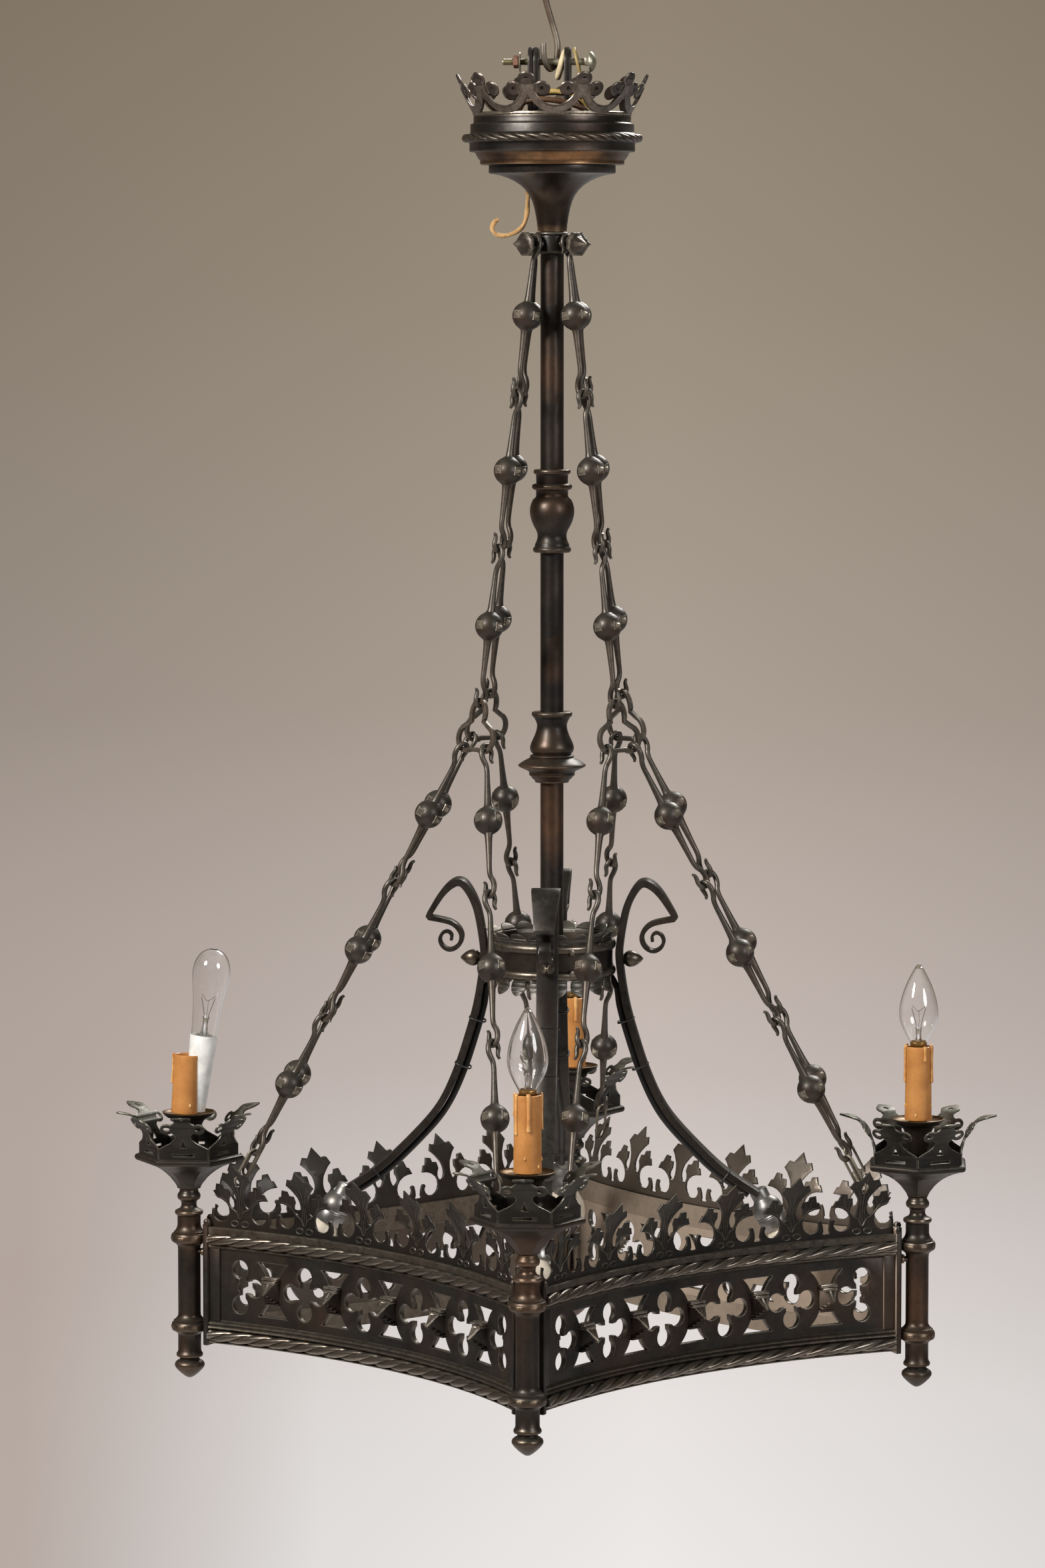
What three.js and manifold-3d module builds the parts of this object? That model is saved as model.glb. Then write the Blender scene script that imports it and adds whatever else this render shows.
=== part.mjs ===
// Wrought iron chandelier: a square ring with four concave pierced sides hangs on eight chain
// strands from four chains, and carries a candle at each corner. A stem with two knops carries
// four scroll arms, and a bell canopy rests on the collar at its top.
// Millimetres, +Z up. The origin is the centre of the eye of the hanging hook. The corners of
// the ring lie on the X and Y axes, and the front corner is on -Y.
import * as THREE from 'three';
import { mergeVertices } from 'three/addons/utils/BufferGeometryUtils.js';
import Module from 'manifold-3d';

const wasm = await Module();
wasm.setup();

const GAP = 0.3;

// Heights, all measured from the eye of the hook
const BOLT_Z = -116;
const CORONET_TIP_Z = -127;
const BELL_TOP_Z = -163.5;
const COLLAR_TOP_Z = -265.6;
const STUD_Z = -276.2;
const UPPER_KNOP_Z = -475.5;
const LOWER_KNOP_Z = -691.4;
const CROWN_Z = -911;
const RIM_Z = -1096;
const PANEL_TOP_Z = -1157;
const PANEL_MID_Z = -1209.5;
const FINIAL_TIP_Z = -1297;

// Hanging hardware
const HOOK_WIRE_R = 2.75;
const EYE_R = 14;
const BOLT_R = 3;
const BOLT_LEFT_X = -44;
const BOLT_HEAD_X = 33;
const NUT_X = -34.5;
const NUT_THICK = 5;
const NUT_FLATS = 10;
const FORK_LEFT_X = [-21, -11.3];
const FORK_RIGHT_X = [11, 16.5];
const FORK_R = 13;
const FORK_BASE_Z = -196;

// Stem, collar and knops
const STEM_R = 10.35;
const STEM_BORE_R = 8;
const STEM_TOP_Z = -204.3;
const STEM_BOTTOM_Z = -925;
const STUD_NECK_R = 3.6;
const STUD_TIP_R = 46;
const STUD_HEAD_R = 10.5;

// Canopy
const CORONET_COUNT = 10;
const CORONET_PHASE = -12.6;
const CORONET_BASE_R = 69.5;
const CORONET_TIP_R = 86;

// Chains
const LINK_HALF = 64.7;
const HOOK_Z = 5.7;
const LINK_WIRE_R = 2.2;
const LINK_SIDES = 4;
const BALL_R = 12.85;
const LINK_STEP = 2 * LINK_HALF + 2 * HOOK_Z - 2.8;
const CHAIN_TOP_R = 20;
const TREFOIL_BAR = 4;
const TREFOIL_R = 84.1;
const TREFOIL_Z = -676.9;

// Ring
const CORNER_R = 328;
const SAGITTA = 45;
const HALF_CHORD = CORNER_R / Math.SQRT2;
const ARC_R = (HALF_CHORD ** 2 + SAGITTA ** 2) / (2 * SAGITTA);
const SIDE_MID_R = HALF_CHORD - SAGITTA;
const BAYS = 6;
const BAY_PITCH = 73;
const PANEL_HALF = 214;
const PLATE_THICK = 3;
const FIELD_HALF = 33;
const ROUNDEL_R = 32;
const LOBE_R = 8.3;
const LOBE_DISTANCE = 16;
const SLOT_FAR = 24;
const SLOT_NEAR = 12;
const ROPE_R = 5.2;
const ROPE_OUT = 9.6;
const CREST_THICK = 2;
const LEAF_TOP = 59.5;
const LEAN_FROM = 20;
const LEAN_OUT = 15;
const LEAF_HOLE_Z = 41;
const LEAF_HOLE_R = 4.9;
const LEAF_HOLE_HALF = 11.2;
const LEAF_HOLE_MID = LEAF_HOLE_Z + 4.2;

// Candles
const PAN_R = 49;
const BAND_R = 45;
const TIER_Z = RIM_Z + 38;
const SLEEVE_Z = RIM_Z + 41;
const SLEEVE_LENGTH = 66;
const SLEEVE_R = 12;
const SLEEVE_BORE_R = 10.2;
const HOLDER_R = 9.6;
const SOCKET_R = 8.6;
const CAP_R = 6.8;
const BULB_R = 17.5;

// Arms
const ARM_THICK = 6.5;
const CURL_THICK = 4.2;
const ARM_CORNER = 13;

const iron = { color: 0x35302b, roughness: 0.55, metalness: 0.85 };
const copperIron = { color: 0x57453a, roughness: 0.45, metalness: 0.85 };
const steel = { color: 0x8a8578, roughness: 0.5, metalness: 0.8 };
const wax = { color: 0xc88d46, roughness: 0.6, metalness: 0 };
const glass = { color: 0xe8e6e2, roughness: 0.05, metalness: 0 };
const cloth = { color: 0xb98d4f, roughness: 0.9, metalness: 0 };

const DEG = Math.PI / 180;
const group = new THREE.Group();

// One closed body: shared vertices merged, slivers dropped and faces pointing out
function closed(geometry) {
  const bare = geometry.clone();
  bare.deleteAttribute('normal');
  bare.deleteAttribute('uv');
  const merged = mergeVertices(bare, 1e-4);
  const place = merged.attributes.position;
  const kept = [];
  let volume = 0;
  const a = new THREE.Vector3();
  const b = new THREE.Vector3();
  const c = new THREE.Vector3();
  for (let i = 0; i < merged.index.count; i += 3) {
    const corner = [0, 1, 2].map((k) => merged.index.getX(i + k));
    if (new Set(corner).size < 3) continue;
    kept.push(...corner);
    a.fromBufferAttribute(place, corner[0]);
    b.fromBufferAttribute(place, corner[1]);
    c.fromBufferAttribute(place, corner[2]);
    volume += a.dot(b.cross(c));
  }
  if (volume < 0) kept.reverse();
  merged.setIndex(kept);
  return merged;
}

function toSolid(geometry) {
  const body = closed(geometry);
  return new wasm.Manifold(new wasm.Mesh({
    numProp: 3,
    vertProperties: new Float32Array(body.attributes.position.array),
    triVerts: new Uint32Array(body.index.array),
  }));
}

function fromSolid(solid) {
  const mesh = solid.getMesh();
  const geometry = new THREE.BufferGeometry();
  geometry.setAttribute('position', new THREE.BufferAttribute(new Float32Array(mesh.vertProperties), 3));
  geometry.setIndex(new THREE.BufferAttribute(new Uint32Array(mesh.triVerts), 1));
  return geometry;
}

function joined(geometries) {
  return geometries.map(toSolid).reduce((whole, piece) => whole.add(piece));
}

function turned(profile, sides, start = 0) {
  const points = profile.map(([r, z]) => new THREE.Vector2(r, z));
  const body = new THREE.LatheGeometry(points, sides, start);
  body.rotateX(Math.PI / 2);
  return body;
}

function box(x, y, z, steps = 1) {
  const body = new THREE.BoxGeometry(x[1] - x[0], y[1] - y[0], z[1] - z[0], steps, 1, 1);
  body.translate((x[0] + x[1]) / 2, (y[0] + y[1]) / 2, (z[0] + z[1]) / 2);
  return body;
}

// A flat plate: x across, z up, y from near to far
function plate(points, near, far, holes = []) {
  const shape = new THREE.Shape(points.map(([x, z]) => new THREE.Vector2(x, z)));
  for (const hole of holes) {
    shape.holes.push(new THREE.Path(hole.map(([x, z]) => new THREE.Vector2(x, z))));
  }
  const body = new THREE.ExtrudeGeometry(shape, { depth: far - near, bevelEnabled: false });
  body.rotateX(Math.PI / 2);
  body.translate(0, far, 0);
  return body;
}

// A body through a row of rings of points, closed at both ends
function lofted(rings, cap) {
  const sides = rings[0].length;
  const faces = [];
  for (let i = 0; i + 1 < rings.length; i += 1) {
    for (let k = 0; k < sides; k += 1) {
      const a = i * sides + k;
      const b = i * sides + ((k + 1) % sides);
      faces.push(a, a + sides, b + sides, a, b + sides, b);
    }
  }
  const fan = cap || rings[0].slice(2).map((_, k) => [0, k + 1, k + 2]);
  const end = (rings.length - 1) * sides;
  for (const [a, b, c] of fan) faces.push(a, b, c, end + a, end + c, end + b);
  const body = new THREE.BufferGeometry();
  body.setAttribute('position', new THREE.Float32BufferAttribute(rings.flat(2), 3));
  body.setIndex(faces);
  return body;
}

// A round rod through rows of x, y, z and radius
function rod(rows, sides) {
  const points = rows.map((row) => new THREE.Vector3(...row));
  let normal = new THREE.Vector3(0.31, 0.95, 0.05);
  return lofted(rows.map((row, i) => {
    const ahead = points[Math.min(i + 1, rows.length - 1)];
    const run = new THREE.Vector3().subVectors(ahead, points[Math.max(i - 1, 0)]).normalize();
    normal = normal.clone().addScaledVector(run, -normal.dot(run)).normalize();
    const other = new THREE.Vector3().crossVectors(run, normal);
    return Array.from({ length: sides }, (_, k) => {
      const turn = (2 * Math.PI * k) / sides;
      return points[i].clone().addScaledVector(normal, row[3] * Math.cos(turn))
        .addScaledVector(other, row[3] * Math.sin(turn)).toArray();
    });
  }));
}

// A rod of one radius along a smooth curve
function bar(points, radius, sides, steps) {
  const curve = new THREE.CatmullRomCurve3(points.map((p) => new THREE.Vector3(...p)), false, 'centripetal');
  return rod(curve.getPoints(steps).map((p) => [p.x, p.y, p.z, radius]), sides);
}

function mirrored(half) {
  const other = half.filter(([x]) => x > 1e-6).map(([x, z]) => [-x, z]).reverse();
  return [...half, ...other];
}

function moved(geometry, change) {
  const place = geometry.attributes.position;
  const p = new THREE.Vector3();
  for (let i = 0; i < place.count; i += 1) {
    p.fromBufferAttribute(place, i);
    change(p);
    place.setXYZ(i, p.x, p.y, p.z);
  }
  return geometry;
}

function add(name, geometry, look) {
  const mesh = new THREE.Mesh(geometry, new THREE.MeshStandardMaterial(look));
  mesh.name = name;
  group.add(mesh);
  return mesh;
}

function addSolid(name, solid, look) {
  return add(name, fromSolid(solid), look);
}

const CORNERS = [
  { name: 'front', angle: -90 },
  { name: 'right', angle: 0 },
  { name: 'back', angle: 90 },
  { name: 'left', angle: 180 },
];
const SIDES = [
  { name: 'front_right', angle: -45, ends: ['front', 'right'] },
  { name: 'back_right', angle: 45, ends: ['right', 'back'] },
  { name: 'back_left', angle: 135, ends: ['back', 'left'] },
  { name: 'front_left', angle: -135, ends: ['left', 'front'] },
];

// Hanging hook: an eye above and a J bend below, in which the bolt rests
{
  const eye = new THREE.TorusGeometry(EYE_R, HOOK_WIRE_R, 6, 12);
  eye.rotateX(Math.PI / 2);
  const shank = bar([
    [0, 0, -EYE_R], [-4, 2, -30], [-8, 4, -48], [-5.5, 6, -64], [-1, 8, -80], [3.8, 8.5, -98],
    [3.8, 8.5, -110], [2.6, 6.6, -117.4], [-1.6, 0, BOLT_Z - BOLT_R - 2 * GAP - HOOK_WIRE_R],
    [-5.4, -6.4, -117.4], [-7, -8.6, -110], [-7.3, -9, -100],
  ], HOOK_WIRE_R, 6, 17);
  addSolid('hanging_hook', joined([eye, shank]), steel);
}

// Coach bolt with a square neck and a domed head, and its nut
{
  const shaft = turned([[0, BOLT_LEFT_X], [BOLT_R, BOLT_LEFT_X], [BOLT_R, BOLT_HEAD_X],
    [9, BOLT_HEAD_X], [8, 36.4], [4.5, 38.4], [0, 39]], 12);
  shaft.rotateY(Math.PI / 2);
  shaft.translate(0, 0, BOLT_Z);
  add('hanging_bolt', closed(shaft), steel);

  const hexR = NUT_FLATS / 2 / Math.cos(30 * DEG);
  const hexagon = [];
  const bore = [];
  for (let i = 0; i < 6; i += 1) {
    hexagon.push([hexR * Math.cos(i * 60 * DEG), hexR * Math.sin(i * 60 * DEG)]);
  }
  for (let i = 0; i < 12; i += 1) {
    bore.push([(BOLT_R + GAP) * Math.cos(i * 30 * DEG), (BOLT_R + GAP) * Math.sin(i * 30 * DEG)]);
  }
  const nut = plate(hexagon, 0, NUT_THICK, [bore]);
  nut.rotateZ(-Math.PI / 2);
  nut.translate(NUT_X, 0, BOLT_Z);
  add('hanging_nut', closed(nut), steel);
}

// Fork: two round-topped leaves that carry the bolt, on a foot with a spigot in the stem
{
  const outline = [];
  for (let i = 0; i <= 8; i += 1) {
    outline.push([FORK_R * Math.cos(i * 22.5 * DEG), BOLT_Z + FORK_R * Math.sin(i * 22.5 * DEG)]);
  }
  outline.push([-FORK_R, FORK_BASE_Z - 6], [FORK_R, FORK_BASE_Z - 6]);
  const eye = [];
  for (let i = 0; i < 10; i += 1) {
    eye.push([(BOLT_R + GAP) * Math.cos(i * 36 * DEG), BOLT_Z + (BOLT_R + GAP) * Math.sin(i * 36 * DEG)]);
  }
  const leaf = ([near, far]) => {
    const body = plate(outline, near, far, [eye]);
    body.rotateZ(-Math.PI / 2);
    return body;
  };
  const foot = box([FORK_LEFT_X[0], FORK_RIGHT_X[1]], [-FORK_R, FORK_R], [FORK_BASE_Z - 8, FORK_BASE_Z]);
  const spigot = turned([[0, STEM_TOP_Z - 18], [STEM_BORE_R - GAP, STEM_TOP_Z - 18],
    [STEM_BORE_R - GAP, FORK_BASE_Z - 4], [0, FORK_BASE_Z - 4]], 12);
  addSolid('hanger_fork', joined([leaf(FORK_LEFT_X), leaf(FORK_RIGHT_X), foot, spigot]), iron);
}

// Canopy bell: spun bands, a rope bead and a trumpet down to the collar, one thin wall
{
  const neck = STEM_R + 0.4;
  const bottom = COLLAR_TOP_Z + GAP;
  const outside = [
    [69.5, BELL_TOP_Z], [69.5, -170.5], [72.3, -171], [72.3, -179], [79.4, -181], [79.4, -185.6],
    [73, -187.4], [73, -195], [68, -195.4], [63.6, -203], [63.6, -206.2], [56, -206.6], [56, -214],
    [40, -217.8], [22.4, -228], [17.6, -238], [12.8, bottom],
  ];
  const inside = [
    [neck, bottom], [15.8, -238], [20.4, -227], [38, -216.2], [54.2, -212.4], [54.2, -204.8],
    [61.8, -204.4], [66, -193.6], [71, -193], [71, -181], [67.8, -178], [67.8, BELL_TOP_Z],
  ];
  add('canopy_bell', closed(turned([...outside, ...inside, outside[0]], 16)), copperIron);
}

// Coronet: half rings open upward, with a three-lobed flower over each meeting point, flared out
{
  const pitch = (2 * Math.PI * CORONET_BASE_R) / CORONET_COUNT;
  const ringMid = pitch / 2;
  const ringOuter = pitch / 2 + 1;
  const ringInner = ringOuter - 6;
  const flowerZ = 25;
  const rise = CORONET_TIP_Z - BELL_TOP_Z;
  const pieces = [];
  const foot = turned([[67.8, GAP], [69.5, GAP], [70.6, 3.2], [68.9, 3.2], [67.8, GAP]], 2 * CORONET_COUNT);
  foot.translate(0, 0, BELL_TOP_Z);
  pieces.push(foot);
  const flare = (p) => {
    const out = CORONET_BASE_R + ((CORONET_TIP_R - CORONET_BASE_R) * p.z) / rise + p.y;
    const turn = p.x / CORONET_BASE_R + CORONET_PHASE * DEG;
    p.set(out * Math.sin(turn), -out * Math.cos(turn), BELL_TOP_Z + p.z);
  };
  for (let i = 0; i < CORONET_COUNT; i += 1) {
    const half = [];
    for (let k = 0; k <= 3; k += 1) {
      const turn = (-180 + 60 * k) * DEG;
      half.push([ringOuter * Math.cos(turn), 1.2 + ringOuter + ringOuter * 1.09 * Math.sin(turn)]);
    }
    for (let k = 3; k >= 0; k -= 1) {
      const turn = (-180 + 60 * k) * DEG;
      half.push([ringInner * Math.cos(turn), 1.2 + ringOuter + ringInner * 1.05 * Math.sin(turn)]);
    }
    const arch = plate(half, -2.4, 0);
    arch.translate(i * pitch + ringMid, 0, 0);
    pieces.push(moved(arch, flare));
    const flower = [];
    for (const heading of [-20, 90, 200]) {
      const x = 8.4 * Math.cos(heading * DEG);
      const z = flowerZ + 1 + 5.6 * Math.sin(heading * DEG);
      for (const side of [-70, 0, 70]) {
        const turn = (heading + side) * DEG;
        flower.push([x + 6.4 * Math.cos(turn), z + 5.9 * Math.sin(turn)]);
      }
    }
    const bloom = plate(flower, -2.8, 0.8);
    bloom.translate(i * pitch, 0, 0);
    pieces.push(moved(bloom, flare));
  }
  addSolid('canopy_coronet', joined(pieces), copperIron);
}

// Stem tube
add('stem_tube', closed(turned([[STEM_BORE_R, STEM_TOP_Z], [STEM_R, STEM_TOP_Z], [STEM_R, STEM_BOTTOM_Z],
  [STEM_BORE_R, STEM_BOTTOM_Z], [STEM_BORE_R, STEM_TOP_Z]], 12)), copperIron);

// Collar with four faceted studs, on whose necks the chains hang
{
  const fit = STEM_R + GAP;
  const ring = turned([[fit, COLLAR_TOP_Z], [14, COLLAR_TOP_Z], [14.6, -267.5], [13.4, -269], [13.4, -283],
    [12.2, -285], [fit, -285], [fit, COLLAR_TOP_Z]], 12);
  const pieces = [ring];
  for (const side of SIDES) {
    const neck = turned([[0, 12.4], [STUD_NECK_R, 12.4], [STUD_NECK_R, 30.5], [0, 30.5]], 6);
    const head = turned([[0, 29.5], [STUD_HEAD_R, 30.5], [STUD_HEAD_R, 33.5],
      [0, STUD_TIP_R]], 6);
    for (const piece of [neck, head]) {
      piece.rotateY(Math.PI / 2);
      piece.rotateZ(side.angle * DEG);
      piece.translate(0, 0, STUD_Z);
      pieces.push(piece);
    }
  }
  addSolid('chain_collar', joined(pieces), iron);
}

// Two turned knops on the stem
{
  const fit = STEM_R + GAP;
  const knop = (name, top, profile) => {
    const points = profile.map(([r, drop]) => [r, top - drop]);
    const last = points[points.length - 1];
    add(name, closed(turned([[fit, top], ...points, [fit, last[1]], [fit, top]], 12)), copperIron);
  };
  knop('upper_knop', UPPER_KNOP_Z, [[16, 0], [16, 3.5], [12.6, 8], [17.8, 12.5], [17.8, 16.5], [13, 20.5],
    [19.5, 31], [19.5, 38], [12, 55], [16.6, 66], [16.6, 71], [12.5, 74]]);
  knop('lower_knop', LOWER_KNOP_Z, [[18, 0], [18, 5], [12.2, 12], [15, 21], [19.5, 31], [17.5, 38], [18.2, 41],
    [30.2, 48.3], [20, 52], [18.4, 58], [15.4, 59.5], [15.4, 63]]);
}

// Crown: a drum with two beads and a floor, leaves standing above it and leaves hanging below
{
  const fit = STEM_R + GAP;
  const wall = turned([
    [51.5, CROWN_Z + 16], [55, CROWN_Z + 16], [57, CROWN_Z + 12.5], [54.5, CROWN_Z + 8.5],
    [54.5, CROWN_Z - 8.5], [57, CROWN_Z - 12.5], [55, CROWN_Z - 16], [51.5, CROWN_Z - 16],
    [51.5, CROWN_Z - 2], [fit, CROWN_Z - 2], [fit, CROWN_Z + 1], [51.5, CROWN_Z + 1], [51.5, CROWN_Z + 16],
  ], 16);
  const pieces = [wall];
  const petal = mirrored([[4.5, 0], [6.8, 9], [0, 18]]);
  for (let i = 0; i < 12; i += 1) {
    for (const up of [1, -1]) {
      const leaf = plate(petal, -1.1, 1.1);
      moved(leaf, (p) => {
        const lean = up > 0 ? -0.12 : 0.1;
        const out = 53.2 + lean * p.z + p.y;
        p.set(p.x, -out, CROWN_Z + up * (15 + p.z));
      });
      leaf.rotateZ((i + 0.5) * 30 * DEG);
      pieces.push(leaf);
    }
  }
  addSolid('crown_band', joined(pieces), iron);
}

// Scroll arms: a flat strap that rises from the crown, turns out, curls back, and sweeps down to
// a lampholder inside the ring. Each row is radius, height and half width.
const ARM_PATH = [
  [90.2, -897, 4.8], [89.9, -892, 4.9], [93.4, -889, 5], [98, -890.7, 5.1], [100.3, -896.2, 5.3],
  [98, -902, 5.6], [92.5, -905.3, 6], [86.6, -903.9, 6.4], [82, -899, 6.8], [80.7, -892, 7.2],
  [84.2, -885.1, 7.7], [90.6, -880.5, 8.1], [101.6, -877.8, 8.6], [111.4, -876.1, 9],
  [100.8, -858.8, 10.8], [94, -850.2, 12], [87.8, -845.3, 12.7], [83.2, -844, 12.75],
  [78.6, -845.8, 12.4], [73.2, -853, 11.4], [68.4, -863, 10.4], [65, -875, 9.8], [61.4, -897, 9.7],
  [60.8, -914, 9.7], [66.5, -952, 9.7], [76.4, -987.5, 9.7], [85, -1013, 9.7], [96.5, -1038.5, 9.7],
  [111.5, -1060, 9.7], [142.5, -1092, 9.7], [162, -1108, 9.7], [184.4, -1122.7, 9.7],
];

function strap(rows, thickness) {
  return lofted(rows.map(([r, z, half], i) => {
    const before = rows[Math.max(i - 1, 0)];
    const after = rows[Math.min(i + 1, rows.length - 1)];
    const run = new THREE.Vector2(after[0] - before[0], after[1] - before[1]).normalize();
    return [[-1, -1], [1, -1], [1, 1], [-1, 1]].map(([across, off]) => {
      const step = (off * thickness) / 2;
      return [r - run.y * step, across * half, z + run.x * step];
    });
  }));
}

for (const corner of CORNERS) {
  const curl = strap(ARM_PATH.slice(0, ARM_CORNER + 1), CURL_THICK);
  const sweep = strap(ARM_PATH.slice(ARM_CORNER), ARM_THICK);
  const holder = turned([[0, -26], [12.5, -26], [13.5, -6], [8, 2], [8, 12], [0, 12]], 8);
  holder.rotateY(-28 * DEG);
  holder.translate(190, 0, -1130);
  const solid = joined([curl, sweep, holder]);
  const mesh = addSolid(`scroll_arm_${corner.name}`, solid, iron);
  mesh.rotation.z = corner.angle * DEG;

  const nut = turned([[0, 64.6], [4, 64.6], [6.9, 69.5], [5.6, 75.5], [0, 82]], 8);
  nut.rotateY(Math.PI / 2);
  nut.translate(0, 0, CROWN_Z - 1.5);
  const acorn = add(`acorn_nut_${corner.name}`, closed(nut), iron);
  acorn.rotation.z = corner.angle * DEG;
}

// One chain link along Z with its ball at the origin: the upper hook lies in the XZ plane and the
// lower one in the YZ plane, so that a row of links hooks together
function link() {
  const c = LINK_HALF;
  const hook = [[-6.8, c - 6], [-5.2, c + HOOK_Z], [5.2, c + HOOK_Z], [6.8, c - 4], [0, c - 14]];
  const wire = LINK_WIRE_R;
  return rod([
    ...hook.map(([u, z]) => [u, 0, z, wire]),
    [0, 0, 12.5, 3.9], [0, 0, 6.5, BALL_R - 1], [0, 0, -6.5, BALL_R - 1], [0, 0, -12.5, 3.9],
    ...hook.reverse().map(([u, z]) => [0, u, -z, wire]),
  ], LINK_SIDES);
}

// Places a body made along -Z from the origin on the line from one point towards another, with the
// body's X axis kept level across the line's heading
function alongLine(geometry, from, to, spin) {
  const down = new THREE.Vector3().subVectors(to, from).normalize();
  const turn = new THREE.Quaternion().setFromUnitVectors(new THREE.Vector3(0, 0, -1), down);
  const twist = new THREE.Quaternion().setFromAxisAngle(new THREE.Vector3(0, 0, 1), spin);
  geometry.applyQuaternion(twist);
  geometry.applyQuaternion(turn);
  geometry.translate(from.x, from.y, from.z);
  return geometry;
}

function strand(extra = []) {
  let whole = null;
  for (let i = 0; i < 3; i += 1) {
    const piece = link();
    piece.translate(0, 0, -LINK_HALF - i * LINK_STEP);
    const solid = toSolid(piece);
    whole = whole ? whole.add(solid) : solid;
  }
  for (const piece of extra) whole = whole.add(toSolid(piece));
  return fromSolid(whole);
}

// Upper chains, from the stud necks down to the trefoil links
for (const side of SIDES) {
  const out = new THREE.Vector3(Math.cos(side.angle * DEG), Math.sin(side.angle * DEG), 0);
  const top = out.clone().multiplyScalar(CHAIN_TOP_R).setZ(STUD_Z + 0.6);
  const end = out.clone().multiplyScalar(TREFOIL_R).setZ(TREFOIL_Z);
  const chain = alongLine(strand(), top, end, side.angle * DEG + Math.PI / 2);
  add(`upper_chain_${side.name}`, closed(chain), iron);
}

// Trefoil links: a square bar bent into three open lobes, hanging in a plane across the radius
const LOBE = { top: [0, -15, 9, 13], low: [11.5, -36, 11.5, 11.5] };
for (const side of SIDES) {
  const outer = [];
  const inner = [];
  const trace = (list, grow) => {
    for (const [cx, cz, rx, rz, from, to] of [
      [...LOBE.top, -25, 205],
      [-LOBE.low[0], LOBE.low[1], LOBE.low[2], LOBE.low[3], 110, 300],
      [...LOBE.low, 240, 430],
    ]) {
      for (let k = 0; k <= 4; k += 1) {
        const turn = (from + ((to - from) * k) / 4) * DEG;
        list.push([cx + (rx + grow) * Math.cos(turn), cz + (rz + grow) * Math.sin(turn)]);
      }
    }
  };
  trace(outer, TREFOIL_BAR / 2);
  trace(inner, -TREFOIL_BAR / 2);
  const body = plate(outer, -TREFOIL_BAR / 2, TREFOIL_BAR / 2, [inner]);
  body.translate(0, 0, 2);
  body.rotateX(-9.3 * DEG);
  body.rotateZ((side.angle + 90) * DEG);
  const out = new THREE.Vector3(Math.cos(side.angle * DEG), Math.sin(side.angle * DEG), 0);
  body.translate(out.x * TREFOIL_R, out.y * TREFOIL_R, TREFOIL_Z);
  add(`trefoil_link_${side.name}`, closed(body), iron);
}

// Place on a side of the ring: s along the arc, out from the middle of the plate, and height
function onSide(side, s, out, z) {
  const x = Math.sin(s / ARC_R) * (ARC_R - out);
  const y = SIDE_MID_R + ARC_R - Math.cos(s / ARC_R) * (ARC_R - out);
  const turn = (side.angle - 90) * DEG;
  return new THREE.Vector3(x * Math.cos(turn) - y * Math.sin(turn), x * Math.sin(turn) + y * Math.cos(turn), z);
}

function bend(side, geometry) {
  return moved(geometry, (p) => p.copy(onSide(side, p.x, p.y, p.z)));
}

// Lower chains, from the lower lobes of each trefoil to the cresting leaf beside each corner, with
// a wire loop through the leaf at the end
const LEAF_S = 2.5 * BAY_PITCH;

// How far a cresting leaf leans out of the ring at a height above its foot
function leafLean(z) {
  return LEAN_OUT * (Math.max(z - LEAN_FROM, 0) / (LEAF_TOP - LEAN_FROM)) ** 1.6;
}

const LOOP_HALF = 5.4;
for (const side of SIDES) {
  side.ends.forEach((end, i) => {
    const hand = i === 0 ? 1 : -1;
    const out = new THREE.Vector3(Math.cos(side.angle * DEG), Math.sin(side.angle * DEG), 0);
    const along = new THREE.Vector3(-out.y, out.x, 0).multiplyScalar(-hand);
    const from = out.clone().multiplyScalar(TREFOIL_R + 7.35).addScaledVector(along, 16.75)
      .setZ(TREFOIL_Z - 44.9);
    const to = onSide(side, hand * LEAF_S, leafLean(LEAF_HOLE_Z), PANEL_TOP_Z + LEAF_HOLE_Z);
    const near = 2 * LINK_STEP + 2 * LINK_HALF + 3;
    const far = from.distanceTo(to);
    const loop = new THREE.TorusGeometry(1, 0.25, 4, 6);
    loop.rotateZ(Math.PI / 6);
    moved(loop, (p) => {
      const end3 = Math.sign(p.y) * ((far - near) / 2 - LOOP_HALF);
      const grow = LOOP_HALF - 4 + 4 * Math.hypot(p.x, p.y);
      const turn = Math.atan2(p.y, p.x);
      p.set(grow * Math.cos(turn), 4 * p.z, -(near + far) / 2 + end3 + grow * Math.sin(turn));
    });
    const chain = alongLine(strand([loop]), from, to, side.angle * DEG);
    add(`lower_chain_${side.name}_${end}`, closed(chain), iron);
  });
}

// A bar of one section, given as outward place and height, along a side of the ring
function sweep(side, section) {
  const cap = THREE.ShapeUtils.triangulateShape(section.map(([x, y]) => new THREE.Vector2(x, y)), []);
  const rings = [];
  for (let i = 0; i <= 6; i += 1) {
    const s = (i / 3 - 1) * (PANEL_HALF + 1);
    rings.push(section.map(([out, z]) => onSide(side, s, out, z).toArray()));
  }
  return lofted(rings, cap);
}

// A rail of the ring from one height to another, with a half round for the rope on its outer face
function rail(side, low, high, rope) {
  return sweep(side, [[3, low], [3, rope - ROPE_R], [ROPE_OUT, rope - ROPE_R / 2],
    [ROPE_OUT, rope + ROPE_R / 2], [3, rope + ROPE_R], [3, high], [-3, high], [-3, low]]);
}

// Sets a body made about the origin, x along and y outward, on a side of the ring
function setOn(side, s, geometry) {
  const place = onSide(side, s, 0, PANEL_MID_Z);
  geometry.rotateZ(s / ARC_R + (side.angle - 90) * DEG);
  return geometry.translate(place.x, place.y, place.z);
}

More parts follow.
